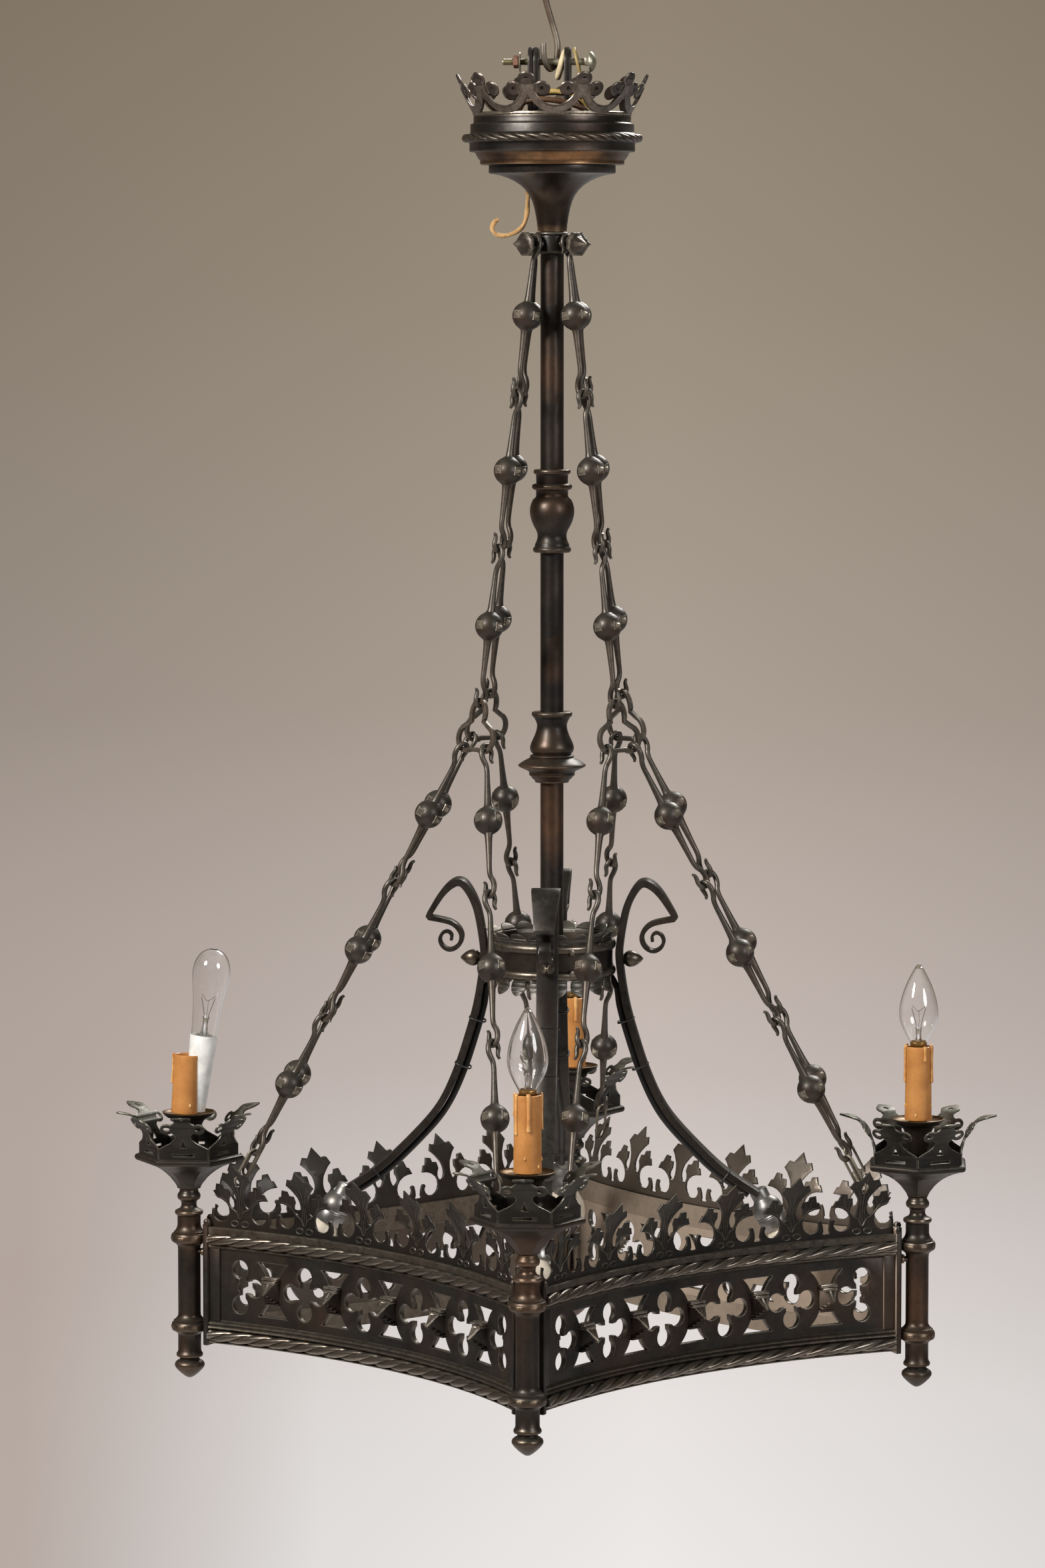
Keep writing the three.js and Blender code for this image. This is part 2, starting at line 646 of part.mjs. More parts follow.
// The opening of a roundel: one lobe for each heading
function lobedHole(headings) {
  const points = [];
  for (const heading of headings) {
    for (const side of [-125, -45, 45, 125]) {
      const turn = (heading + side) * DEG;
      points.push([
        LOBE_DISTANCE * Math.cos(heading * DEG) + LOBE_R * 1.06 * Math.cos(turn),
        LOBE_DISTANCE * Math.sin(heading * DEG) + LOBE_R * 1.06 * Math.sin(turn),
      ]);
    }
  }
  return points;
}

// Pierced sides of the ring, with rope bars above and below and studs between the roundels
for (const side of SIDES) {
  const top = PANEL_MID_Z + FIELD_HALF;
  const bottom = PANEL_MID_Z - FIELD_HALF;
  const half = PLATE_THICK / 2;
  const cuts = [];
  const studs = [];
  const wide = BAY_PITCH / 2 - Math.sqrt(ROUNDEL_R ** 2 - SLOT_FAR ** 2);
  const slim = BAY_PITCH / 2 - Math.sqrt(ROUNDEL_R ** 2 - SLOT_NEAR ** 2);
  for (let i = 0; i < BAYS; i += 1) {
    const centre = (i - (BAYS - 1) / 2) * BAY_PITCH;
    let headings = [0, 90, 180, 270];
    if (i === 0) headings = [0, 90, 270];
    if (i === BAYS - 1) headings = [90, 180, 270];
    cuts.push(setOn(side, centre, plate(lobedHole(headings), -4, 4)));
    if (i === BAYS - 1) continue;
    const middle = centre + BAY_PITCH / 2;
    for (const up of [1, -1]) {
      const slot = [[-wide, SLOT_FAR], [wide, SLOT_FAR], [slim, SLOT_NEAR], [-slim, SLOT_NEAR]];
      cuts.push(setOn(side, middle, plate(slot.map(([x, z]) => [x, up * z]), -4, 4)));
    }
    const stud = new THREE.LatheGeometry([[0, 0], [1, 0], [1, 6.5], [0, 17]]
      .map(([r, y]) => new THREE.Vector2(r * Math.SQRT2, y)), 4, 45 * DEG);
    stud.scale(8, 1, 12.5);
    studs.push(setOn(side, middle, stud));
  }
  const field = sweep(side, [[half, bottom - 1], [half, top + 1], [-half, top + 1], [-half, bottom - 1]]);
  const pieces = [fromSolid(toSolid(field).subtract(joined(cuts))), ...studs];
  pieces.push(rail(side, top, PANEL_TOP_Z, PANEL_TOP_Z - 11));
  pieces.push(rail(side, bottom - 20, bottom, bottom - 13));
  for (const hand of [-1, 1]) {
    const strip = box([-3, 3], [-7, 6], [-FIELD_HALF - 23, FIELD_HALF + 20]);
    pieces.push(setOn(side, hand * (PANEL_HALF + 3.5), strip));
  }
  addSolid(`side_panel_${side.name}`, joined(pieces), iron);
}

// Cresting: six leaves with a big middle lobe and two side lobes over each side, round gaps between
{
  const halfLeaf = [
    [BAY_PITCH / 2, 9], [27, 9], [20, 4.5], [12, 15], [18, 22], [29.4, 26.4], [30.5, 33],
    [22, 42], [9, 24], [6, 37], [14.5, 49], [0, LEAF_TOP],
  ];
  const ends = PANEL_HALF - GAP;
  for (const side of SIDES) {
    const skyline = [[ends, 0], [ends, 8]];
    for (let i = BAYS - 1; i >= 0; i -= 1) {
      const centre = (i - (BAYS - 1) / 2) * BAY_PITCH;
      halfLeaf.slice(1).forEach(([x, z]) => skyline.push([centre + x, z]));
      [...halfLeaf].reverse().slice(1).forEach(([x, z]) => skyline.push([centre - x, z]));
    }
    skyline.pop();
    skyline.push([-ends, 8], [-ends, 0]);
    for (let i = -2; i <= 2; i += 1) skyline.push([(i * ends) / 3, 0.1 * Math.abs(i % 2)]);
    const lift = ([x, z]) => [x, PANEL_TOP_Z + GAP + z];
    const holes = [-LEAF_S, LEAF_S].map((s) => Array.from({ length: 6 }, (_, k) => lift(
      [s + LEAF_HOLE_R * Math.cos(k * 60 * DEG), LEAF_HOLE_MID + LEAF_HOLE_HALF * Math.sin(k * 60 * DEG)])));
    const body = plate(skyline.map(lift), -CREST_THICK / 2, CREST_THICK / 2, holes);
    moved(body, (p) => {
      p.y += leafLean(p.z - PANEL_TOP_Z);
    });
    add(`cresting_${side.name}`, closed(bend(side, body)), iron);
  }
}

// Corner posts, drip pans, candle sleeves and bulbs
const FLEURON = mirrored([[22, 0], [22, 13.7], [8.5, 26], [18, 33], [16, 40], [7, 46], [0, 62.4]]);
// How a fleuron bends: length along its plate, outward and above the rim
const FLEURON_BEND = [
  [0, 0, 4], [13.7, 0, 13.7], [20.2, 1.6, 20], [28, 4.2, 27.4], [35.6, 8.4, 33.7], [43.7, 13.7, 39.9],
  [49.6, 18.9, 42.6], [56.1, 25.2, 44.1], [62.4, 31.4, 45.1],
];
const FLEURON_FOOT = BAND_R * Math.cos(30 * DEG) - 1;
const onBend = (length) => {
  const next = Math.max(1, FLEURON_BEND.findIndex((row) => row[0] > length - 0.001));
  const [low, high] = [FLEURON_BEND[next - 1], FLEURON_BEND[next]];
  const share = (length - low[0]) / (high[0] - low[0]);
  return [low[1] + (high[1] - low[1]) * share, low[2] + (high[2] - low[2]) * share];
};
for (const corner of CORNERS) {
  const mount = new THREE.Vector3(CORNER_R * Math.cos(corner.angle * DEG), CORNER_R * Math.sin(corner.angle * DEG), 0);
  const post = turned([
    [0, FINIAL_TIP_Z], [7, FINIAL_TIP_Z + 3], [13.6, FINIAL_TIP_Z + 11], [8.7, FINIAL_TIP_Z + 18],
    [11.8, FINIAL_TIP_Z + 23], [10.6, FINIAL_TIP_Z + 26], [10.6, -1254.5], [16.3, -1250], [16.3, -1246],
    [10.3, -1240], [10.3, -1176], [16.3, -1170.5], [16.3, -1166], [10.3, -1157.5], [12.9, -1145.5],
    [6.8, -1138.5], [10.3, -1130], [8.5, -1124.5], [0, -1124.5],
  ], 8, 22.5 * DEG);
  const pieces = [post];
  for (const hand of [-1, 1]) {
    const pin = turned([[0, 9], [1.6, 9], [1.6, 16.9], [0, 16.9]], 4);
    pin.rotateY(Math.PI / 2);
    pin.rotateZ((180 + hand * 23) * DEG);
    pin.translate(0, 0, -1181);
    pieces.push(pin);
  }
  const body = addSolid(`corner_post_${corner.name}`, joined(pieces), iron);
  body.position.copy(mount);
  body.rotation.z = corner.angle * DEG;

  const dish = turned([
    [0, -1124.5 + GAP], [8.5, -1124.5 + GAP], [11, -1121.5], [17, -1114], [25, -1107.3], [38, -1101],
    [PAN_R, RIM_Z - 1.5],
    [PAN_R, RIM_Z + 2.5], [BAND_R + 1, RIM_Z + 4.5], [BAND_R + 1, RIM_Z + 5.5], [20, RIM_Z + 3],
    [7, RIM_Z + 1], [7, TIER_Z - 2], [23, TIER_Z + 1], [23.4, TIER_Z + 3], [HOLDER_R, TIER_Z + 2.4],
    [HOLDER_R, SLEEVE_Z + SLEEVE_LENGTH - 2], [SOCKET_R, SLEEVE_Z + SLEEVE_LENGTH - 2],
    [SOCKET_R, SLEEVE_Z + SLEEVE_LENGTH - 26], [0, SLEEVE_Z + SLEEVE_LENGTH - 26],
  ], 6, 30 * DEG);
  const gallery = [dish];
  for (let i = 0; i < 6; i += 1) {
    const leaf = plate(FLEURON, -1.1, 1.1);
    moved(leaf, (p) => {
      const [out, up] = onBend(p.z);
      p.set(p.x, FLEURON_FOOT + p.y + out, RIM_Z + up);
    });
    leaf.rotateZ(i * 60 * DEG);
    gallery.push(leaf);
  }
  const pan = addSolid(`drip_pan_${corner.name}`, joined(gallery), iron);
  pan.position.copy(mount);
  if (corner.name === 'right') pan.rotation.z = 30 * DEG;

  const sleeve = add(`candle_sleeve_${corner.name}`, closed(turned([
    [SLEEVE_BORE_R, SLEEVE_Z], [SLEEVE_R, SLEEVE_Z], [SLEEVE_R, SLEEVE_Z + SLEEVE_LENGTH],
    [SLEEVE_BORE_R, SLEEVE_Z + SLEEVE_LENGTH], [SLEEVE_BORE_R, SLEEVE_Z]], 12)), wax);
  sleeve.position.copy(mount);

  const seat = SLEEVE_Z + SLEEVE_LENGTH;
  const bulb = add(`bulb_${corner.name}`, closed(turned([
    [0, seat - 25], [3, seat - 25], [CAP_R, seat - 21], [CAP_R, seat + 1], [14.6, seat + 14],
    [BULB_R, seat + 26], [15.6, seat + 44], [9.4, seat + 62], [3.6, seat + 72], [0, seat + 76]], 8)), glass);
  bulb.position.copy(mount);
}

// Loose end of the cloth-covered supply wire, out of the back of the canopy's trumpet
{
  const route = [[-23.4, 21, -226.6], [-23, 21.8, -231.5], [-23.2, 22, -240], [-24, 22.4, -250], [-27, 22.4, -259.5],
    [-33, 22.4, -265], [-42, 22.4, -268.5], [-50.5, 22.4, -268], [-55, 22.4, -262.5], [-52.5, 22.4, -256.5],
    [-49, 22.4, -254]];
  add('loose_wire', closed(bar(route, 2.3, 8, 16)), cloth);
}

export default group;
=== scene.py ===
# %% [markdown]
# # Wrought iron chandelier
#
# This lesson dresses the measured frame of a hanging iron chandelier. The frame holds every piece
# at its real size and place, so each step here makes one piece or one finish around it.
# Lengths in the helpers are millimetres, because that is how a smith would measure them, and
# they are turned into metres when a mesh is made.

# %% Load the frame
import math
import random

import bmesh
import bpy
import numpy as np
from mathutils import Matrix, Vector


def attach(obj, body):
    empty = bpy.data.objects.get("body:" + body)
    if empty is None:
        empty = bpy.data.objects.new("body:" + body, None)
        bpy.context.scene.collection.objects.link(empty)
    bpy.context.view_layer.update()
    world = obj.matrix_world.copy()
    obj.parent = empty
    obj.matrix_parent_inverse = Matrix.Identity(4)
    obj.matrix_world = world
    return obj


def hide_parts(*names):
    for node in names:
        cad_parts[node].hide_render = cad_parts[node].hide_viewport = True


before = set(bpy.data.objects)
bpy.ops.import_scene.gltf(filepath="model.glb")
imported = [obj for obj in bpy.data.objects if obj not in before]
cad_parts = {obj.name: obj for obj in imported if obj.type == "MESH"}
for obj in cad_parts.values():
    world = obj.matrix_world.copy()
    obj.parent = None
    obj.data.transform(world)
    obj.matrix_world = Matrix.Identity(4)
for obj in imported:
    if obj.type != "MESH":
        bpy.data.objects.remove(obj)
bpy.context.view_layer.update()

# %% [markdown]
# ## Camera
#
# The camera stands a little over five metres away and looks slightly down, with a long lens. Its
# place was found by fitting the four corners of the ring, the stem and the canopy. The long lens
# is why the far and near corners of the ring look almost the same size.

# %% Camera
FRAME_TALL = 2352
FOCAL = 8795
SENSOR = 36
CAMERA_PLACE = (0.3238, -5.2030, -0.290)
LOOK_DOWN = 5.11
LOOK_LEFT = 3.85
camera_data = bpy.data.cameras.new("camera")
camera_data.sensor_width = SENSOR
camera_data.lens = SENSOR * FOCAL / FRAME_TALL
camera_data.clip_end = 100
camera = bpy.data.objects.new("camera", camera_data)
camera.location = CAMERA_PLACE
camera.rotation_euler = (math.radians(90 - LOOK_DOWN), 0, math.radians(LOOK_LEFT))
bpy.context.scene.collection.objects.link(camera)
bpy.context.scene.camera = camera
bpy.context.scene.view_settings.view_transform = "Standard"
print("lens in millimetres:", round(camera_data.lens, 1))

# %% [markdown]
# ## Helpers for making metal shapes
#
# Smiths and founders make few kinds of shape: things turned on a lathe, bars bent along a line,
# plates cut out with holes, and small faceted bosses. Each helper below returns a list of points
# and a list of faces, and one last helper welds them into an object that rides on its body.

# %% Turned shapes
MM = 0.001
DEG = math.pi / 180


def turned(profile, sides=48, start=0.0, ring=False):
    """A body of revolution about Z through rows of radius and height; ring closes the profile on itself."""
    points = []
    rows = []
    for r, z in profile:
        if r < 1e-6:
            rows.append([len(points)])
            points.append((0, 0, z))
            continue
        rows.append(list(range(len(points), len(points) + sides)))
        for k in range(sides):
            turn = start + 2 * math.pi * k / sides
            points.append((r * math.cos(turn), r * math.sin(turn), z))
    if ring:
        rows.append(rows[0])
    faces = []
    for low, high in zip(rows, rows[1:]):
        for k in range(sides):
            after = (k + 1) % sides
            if len(low) == 1 and len(high) == 1:
                continue
            if len(low) == 1:
                faces.append((low[0], high[k], high[after]))
            elif len(high) == 1:
                faces.append((low[k], high[0], low[after]))
            else:
                faces.append((low[k], high[k], high[after], low[after]))
    return np.array(points, float), faces


def flow(points, steps=6, loop=False):
    """A smooth line through points of any number of coordinates."""
    rows = np.array(points, float)
    count = len(rows)
    line = []
    for i in range(count if loop else count - 1):
        if loop:
            p0, p1, p2, p3 = (rows[(i + k) % count] for k in (-1, 0, 1, 2))
        else:
            p1, p2 = rows[i], rows[i + 1]
            p0 = rows[i - 1] if i else 2 * p1 - p2
            p3 = rows[i + 2] if i + 2 < count else 2 * p2 - p1
        for k in range(steps):
            t = k / steps
            line.append(0.5 * (2 * p1 + (p2 - p0) * t + (2 * p0 - 5 * p1 + 4 * p2 - p3) * t * t
                               + (3 * p1 - p0 - 3 * p2 + p3) * t ** 3))
    if not loop:
        line.append(rows[-1])
    return np.array(line)


def bow(cx, cz, r, first, last, steps=8, rz=None):
    """Points of an arc in a plane, from the first to the last angle in degrees."""
    return [(cx + r * math.cos((first + (last - first) * k / steps) * DEG),
             cz + (rz or r) * math.sin((first + (last - first) * k / steps) * DEG))
            for k in range(steps + 1)]


print("a turned ring has", len(turned([(1, 0), (1, 1)], 8)[0]), "points")

# %% Bars bent along a line


def disc(radius, sides=12, flat=1.0):
    return [(radius * math.cos(2 * math.pi * k / sides), flat * radius * math.sin(2 * math.pi * k / sides))
            for k in range(sides)]


def swept(path, section, sizes=None, twist=None, up=(0, 0, 1), loop=False, fixed=False):
    """A bar of one section along a path. The section's first axis starts out along up.
    fixed keeps it there all the way, and otherwise it is carried along without turning."""
    line = np.array(path, float)
    count = len(line)
    section = np.array(section, float)
    sides = len(section)
    rings = []
    normal = np.array(up, float)
    for i in range(count):
        if loop:
            run = line[(i + 1) % count] - line[i - 1]
        else:
            run = line[min(i + 1, count - 1)] - line[max(i - 1, 0)]
        run = run / np.linalg.norm(run)
        if fixed:
            normal = np.array(up, float)
        normal = normal - run * normal.dot(run)
        normal = normal / np.linalg.norm(normal)
        across = np.cross(run, normal)
        size = sizes[i] if sizes is not None else 1
        size = np.array([size, size] if np.isscalar(size) else size, float)
        u, v = (section * size).T
        if twist is not None:
            turn = twist[i]
            u, v = u * math.cos(turn) - v * math.sin(turn), u * math.sin(turn) + v * math.cos(turn)
        rings.append(line[i] + np.outer(u, normal) + np.outer(v, across))
    points = np.concatenate(rings)
    faces = []
    for i in range(count if loop else count - 1):
        here = i * sides
        there = ((i + 1) % count) * sides
        for k in range(sides):
            after = (k + 1) % sides
            faces.append((here + k, here + after, there + after, there + k))
    if not loop:
        faces.append(tuple(range(sides)))
        faces.append(tuple(range((count - 1) * sides, count * sides)))
    return points, faces


def wire(path, radius, sides=10, steps=6, loop=False, ends=None):
    """A round wire along a smooth line, drawn out at its ends where ends gives their share of the radius."""
    line = flow(path, steps, loop)
    sizes = None
    if ends:
        sizes = np.interp(np.linspace(0, 1, len(line)), np.linspace(0, 1, len(ends)), ends)
    return swept(line, disc(radius, sides), sizes, up=(0.31, 0.95, 0.05), loop=loop)


# %% Plates cut out with holes


def slab(outline, holes=(), thick=3.0, bevel=0.5, far=0.0):
    """A plate in the XZ plane with its back face at far and bevelled edges, cut by holes.
    Its flat faces have finish 0 and its edges finish 1."""
    curve = bpy.data.curves.new("outline", "CURVE")
    curve.dimensions = "2D"
    curve.fill_mode = "BOTH"
    curve.extrude = max(thick / 2 - bevel, 0.01)
    curve.bevel_depth = bevel
    curve.bevel_resolution = 1
    curve.offset = -bevel
    for ring in [outline, *holes]:
        spline = curve.splines.new("POLY")
        spline.points.add(len(ring) - 1)
        for point, (x, z) in zip(spline.points, ring):
            point.co = (x, z, 0, 1)
        spline.use_cyclic_u = True
    holder = bpy.data.objects.new("outline", curve)
    mesh = bpy.data.meshes.new_from_object(holder)
    work = bmesh.new()
    work.from_mesh(mesh)
    bmesh.ops.remove_doubles(work, verts=work.verts, dist=1e-4)
    work.verts.ensure_lookup_table()
    points = np.array([(v.co.x, far + thick / 2 + v.co.z, v.co.y) for v in work.verts])
    faces = [tuple(v.index for v in f.verts) for f in work.faces]
    flat = [max(abs(v.co.z - f.verts[0].co.z) for v in f.verts) < 1e-3 for f in work.faces]
    work.free()
    bpy.data.meshes.remove(mesh)
    bpy.data.objects.remove(holder)
    bpy.data.curves.remove(curve)
    return points, faces, [0 if face else 1 for face in flat]


def taken(work):
    """The points and faces of a working mesh, which is freed."""
    work.verts.index_update()
    points = np.array([tuple(v.co) for v in work.verts])
    faces = [tuple(v.index for v in f.verts) for f in work.faces]
    work.free()
    return points, faces


def fine(shape, step=2.2, axis=2):
    """Cuts a flat plate into rows across one of its axes, so that it bends smoothly."""
    work = bmesh.new()
    made = [work.verts.new(p) for p in shape[0]]
    mark = work.faces.layers.int.new("mark")
    for face, number in zip(shape[1], shape[2]):
        new = work.faces.new([made[i] for i in face])
        new[mark] = number
    across = Vector([1 if k == axis else 0 for k in range(3)])
    for cut in np.arange(min(p[axis] for p in shape[0]) + step, max(p[axis] for p in shape[0]), step):
        geom = work.verts[:] + work.edges[:] + work.faces[:]
        bmesh.ops.bisect_plane(work, geom=geom, plane_co=across * cut, plane_no=across)
    marks = [f[mark] for f in work.faces]
    return (*taken(work), marks)


def mirror(half):
    """A closed outline from its right half, which starts below on the axis and ends above on it."""
    return list(half) + [(-x, z) for x, z in reversed(half) if x > 1e-6]


def block(low, high, bevel=0.4):
    """A small forged block between two corners, with bevelled edges."""
    work = bmesh.new()
    bmesh.ops.create_cube(work, size=1)
    size = [b - a for a, b in zip(low, high)]
    for v in work.verts:
        v.co = [a + s * (c + 0.5) for a, s, c in zip(low, size, v.co)]
    bmesh.ops.bevel(work, geom=work.edges[:], offset=bevel, segments=2, profile=0.5, affect="EDGES")
    return taken(work)


def facets(corners):
    """The hull of a few corner points, for faceted bosses."""
    work = bmesh.new()
    for corner in corners:
        work.verts.new(corner)
    found = bmesh.ops.convex_hull(work, input=work.verts[:])
    loose = [v for v in work.verts if not v.link_faces]
    bmesh.ops.delete(work, geom=loose, context="VERTS")
    return taken(work)


# %% Moving shapes and making pieces
SIDEWAYS = Matrix.Rotation(90 * DEG, 4, "Y")


def put(shape, at=(0, 0, 0), spin=0.0, tilt=None):
    """The same shape turned about Z by spin degrees, or by a tilt matrix first, then moved."""
    points = np.array(shape[0], float)
    if tilt is not None:
        points = points @ np.array(tilt.to_3x3()).T
    c, s = math.cos(spin * DEG), math.sin(spin * DEG)
    points = points @ np.array([[c, s, 0], [-s, c, 0], [0, 0, 1]])
    return (points + np.array(at, float), *shape[1:])


def reshape(shape, change):
    """The same shape with change(x, y, z) applied to all its points at once."""
    x, y, z = np.array(shape[0], float).T
    return (np.stack(change(x, y, z), axis=1), *shape[1:])


def paint(shape, number):
    """The same shape with the number of its finish in the piece's list of finishes."""
    marks = shape[2] if len(shape) > 2 else [0] * len(shape[1])
    return shape[0], shape[1], [mark + number for mark in marks]


def weld(name, shapes, finishes, angle=38):
    """One mesh in metres from shapes in millimetres, with outward faces and smooth shading under an angle."""
    points = []
    faces = []
    slots = []
    base = 0
    for shape in shapes:
        points.append(np.array(shape[0], float) * MM)
        faces += [tuple(i + base for i in face) for face in shape[1]]
        slots += shape[2] if len(shape) > 2 else [0] * len(shape[1])
        base += len(shape[0])
    mesh = bpy.data.meshes.new(name)
    mesh.from_pydata(np.concatenate(points).tolist(), [], faces)
    mesh.polygons.foreach_set("material_index", slots)
    work = bmesh.new()
    work.from_mesh(mesh)
    bmesh.ops.recalc_face_normals(work, faces=work.faces)
    work.to_mesh(mesh)
    work.free()
    mesh.shade_smooth()
    mesh.set_sharp_from_angle(angle=math.radians(angle))
    for finish in finishes:
        mesh.materials.append(finish)
    return mesh


def show(name, mesh, body, nodes=(), place=None):
    """Hangs a mesh on a body as one named piece that stands for the nodes given."""
    thing = bpy.data.objects.new(name, mesh)
    bpy.context.scene.collection.objects.link(thing)
    if place is not None:
        thing.matrix_world = place
    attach(thing, body)
    if nodes:
        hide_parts(*nodes)
    return thing


def piece(name, shapes, finishes, body, nodes=(), angle=38):
    return show(name, weld(name, shapes, finishes, angle), body, nodes)


# %% [markdown]
# ## Finishes
#
# Old bronzed iron is never one colour. It has a dark brown-black patina in the hollows, a thin grey
# bloom on flat faces, and bright rubbed metal on every edge and crown where hands and cloths
# have passed. So each iron finish mixes a dark and a lighter patina with broad clouds, adds fine
# mottling, and lets the convex edges wear through; that pale edge colour is also painted highlight.
# The wear comes from the shape itself, by the pointiness that the renderer measures, and is broken
# up by noise so that it never looks drawn. Faces that look up are paled with dust and painted light
# from above, and faces that look toward the stem can take pale painted light.

# %% The iron finish


def colour(r, g, b):
    """A colour as it is seen on a screen, from 0 to 255, turned into light."""
    return tuple(((v / 255 + 0.055) / 1.055) ** 2.4 if v > 10 else v / 255 / 12.92 for v in (r, g, b)) + (1,)


class Nodes:
    """A small helper to lay out and link shader nodes."""

    def __init__(self, name, world=False):
        self.material = (bpy.data.worlds if world else bpy.data.materials).new(name)
        self.material.use_nodes = True
        self.tree = self.material.node_tree
        self.shader = self.tree.nodes.get("Principled BSDF")

    def add(self, kind, **values):
        node = self.tree.nodes.new(kind)
        for key, value in values.items():
            if hasattr(node, key):
                setattr(node, key, value)
            else:
                node.inputs[key.replace("_", " ")].default_value = value
        return node

    def link(self, source, target):
        self.tree.links.new(source, target)

    def noise(self, place, scale, detail=4, rough=0.6):
        node = self.add("ShaderNodeTexNoise", Scale=scale, Detail=detail, Roughness=rough)
        self.link(place, node.inputs["Vector"])
        return node.outputs["Fac"]

    def ramp(self, value, low, high, a=0.0, b=1.0):
        node = self.add("ShaderNodeMapRange", clamp=True)
        for key, number in zip(("From Min", "From Max", "To Min", "To Max"), (low, high, a, b)):
            node.inputs[key].default_value = number
        self.link(value, node.inputs["Value"])
        return node.outputs["Result"]

    def sum(self, operation, a, b):
        node = self.add("ShaderNodeMath", operation=operation)
        for socket, value in zip(node.inputs, (a, b)):
            if isinstance(value, (int, float)):
                socket.default_value = value
            else:
                self.link(value, socket)
        return node.outputs[0]

    def mix(self, share, a, b):
        node = self.add("ShaderNodeMix", data_type="RGBA")
        for socket, value in ((node.inputs["Factor"], share), (node.inputs[6], a), (node.inputs[7], b)):
            if isinstance(value, (int, float, tuple)):
                socket.default_value = value
            else:
                self.link(value, socket)
        return node.outputs[2]

    def keep(self, **values):
        """Sets numbers that are the same all over the surface."""
        for key, value in values.items():
            self.shader.inputs[key.replace("_", " ")].default_value = value

    def relief(self, height, strength, distance):
        bump = self.add("ShaderNodeBump", Strength=strength, Distance=distance)
        self.link(height, bump.inputs["Height"])
        self.link(bump.outputs["Normal"], self.shader.inputs["Normal"])


# Pale painted light on the faces that look toward the stem.
PAINTED_INNER_LIGHT = colour(178, 160, 142)


def iron(name, deep, face, worn_and_highlight, warm, edge=0.5, rough=0.42, metal=0.75, rim=None, bump=0.25, dust_and_top_light=0.2, inner=0.0):
    """Patinated iron: deep patina in the hollows, face colour, worn edges, and warm clouds over both; the worn edge
    colour also paints highlights.
    On plates the rim gives how much of the edge shows, and otherwise the shape's own points do.
    The dust share pales the faces that look up, as dust and as painted light from above; inner is the share of pale
    painted light on the faces that look toward the stem, stronger toward +X."""
    n = Nodes(name)
    deep, face, worn_and_highlight, warm = (colour(*shade) for shade in (deep, face, worn_and_highlight, warm))
    place = n.add("ShaderNodeTexCoord").outputs["Object"]
    clouds = n.noise(place, 26, 5, 0.62)
    mottle = n.noise(place, 160, 5, 0.7)
    grain = n.noise(place, 900, 3, 0.6)
    shape = n.add("ShaderNodeNewGeometry")
    if rim is not None:
        point = n.ramp(mottle, 0.2, 0.5, rim * 0.7, rim)
        hollow = n.ramp(grain, 0.2, 0.8, 0, 0.1)
    else:
        point = n.ramp(shape.outputs["Pointiness"], 0.52, 0.60)
        hollow = n.ramp(shape.outputs["Pointiness"], 0.49, 0.42)
    broken = n.sum("MULTIPLY", point, n.ramp(mottle, 0.36, 0.62, 0.25, 1.0))
    wear_and_highlight = n.sum("MULTIPLY", broken, edge)
    tone = n.mix(n.ramp(clouds, 0.38, 0.66), face, deep)
    tone = n.mix(n.sum("MULTIPLY", n.ramp(n.noise(place, 11, 3, 0.5), 0.5, 0.68), 0.75), tone, warm)
    tone = n.mix(n.ramp(mottle, 0.45, 0.75, 0, 0.5), tone, deep)
    tone = n.mix(n.sum("MULTIPLY", hollow, 0.8), tone, deep)
    # The worn colour on edges and crowns is both rubbed metal and painted highlight.
    tone = n.mix(wear_and_highlight, tone, worn_and_highlight)
    # Faces that look up are paled, as dust and as painted light from above.
    north = n.add("ShaderNodeSeparateXYZ")
    n.link(shape.outputs["Normal"], north.inputs[0])
    lying_dust_and_light = n.sum("MULTIPLY", n.ramp(north.outputs["Z"], 0.25, 0.9), n.ramp(mottle, 0.4, 0.7, 0.4, 1))
    tone = n.mix(n.sum("MULTIPLY", lying_dust_and_light, dust_and_top_light), tone, colour(150, 148, 134))
    # Faces that look toward the stem get pale painted light, stronger toward +X where the key lamp reaches them.
    if inner:
        level = n.add("ShaderNodeVectorMath", operation="MULTIPLY")
        level.inputs[1].default_value = (1, 1, 0)
        n.link(place, level.inputs[0])
        facing = n.add("ShaderNodeVectorMath", operation="DOT_PRODUCT")
        n.link(level.outputs["Vector"], facing.inputs[0])
        n.link(shape.outputs["Normal"], facing.inputs[1])
        away = n.sum("MULTIPLY", n.ramp(facing.outputs["Value"], -0.06, -0.14), inner)
        lit_side_place = n.add("ShaderNodeSeparateXYZ")
        n.link(place, lit_side_place.inputs[0])
        away = n.sum("MULTIPLY", away, n.ramp(lit_side_place.outputs["X"], -0.12, 0.06, 0.2, 1.0))
        away = n.sum("MULTIPLY", away, n.ramp(clouds, 0.3, 0.7, 1.0, 0.75))
        tone = n.mix(away, tone, PAINTED_INNER_LIGHT)
        n.link(n.sum("MULTIPLY", n.sum("SUBTRACT", 1.0, away), metal), n.shader.inputs["Metallic"])
    n.link(tone, n.shader.inputs["Base Color"])
    n.keep(Coat_Weight=0.22, Coat_Roughness=0.3, Metallic=metal)
    matt = n.ramp(clouds, 0.3, 0.7, rough - 0.08, rough + 0.14)
    matt = n.sum("SUBTRACT", matt, n.sum("MULTIPLY", wear_and_highlight, 0.14))
    matt = n.sum("ADD", matt, n.sum("MULTIPLY", lying_dust_and_light, 0.25 * dust_and_top_light))
    n.link(matt, n.shader.inputs["Roughness"])
    n.relief(n.sum("ADD", mottle, n.sum("MULTIPLY", grain, 0.35)), bump, 0.0006)
    return n.material


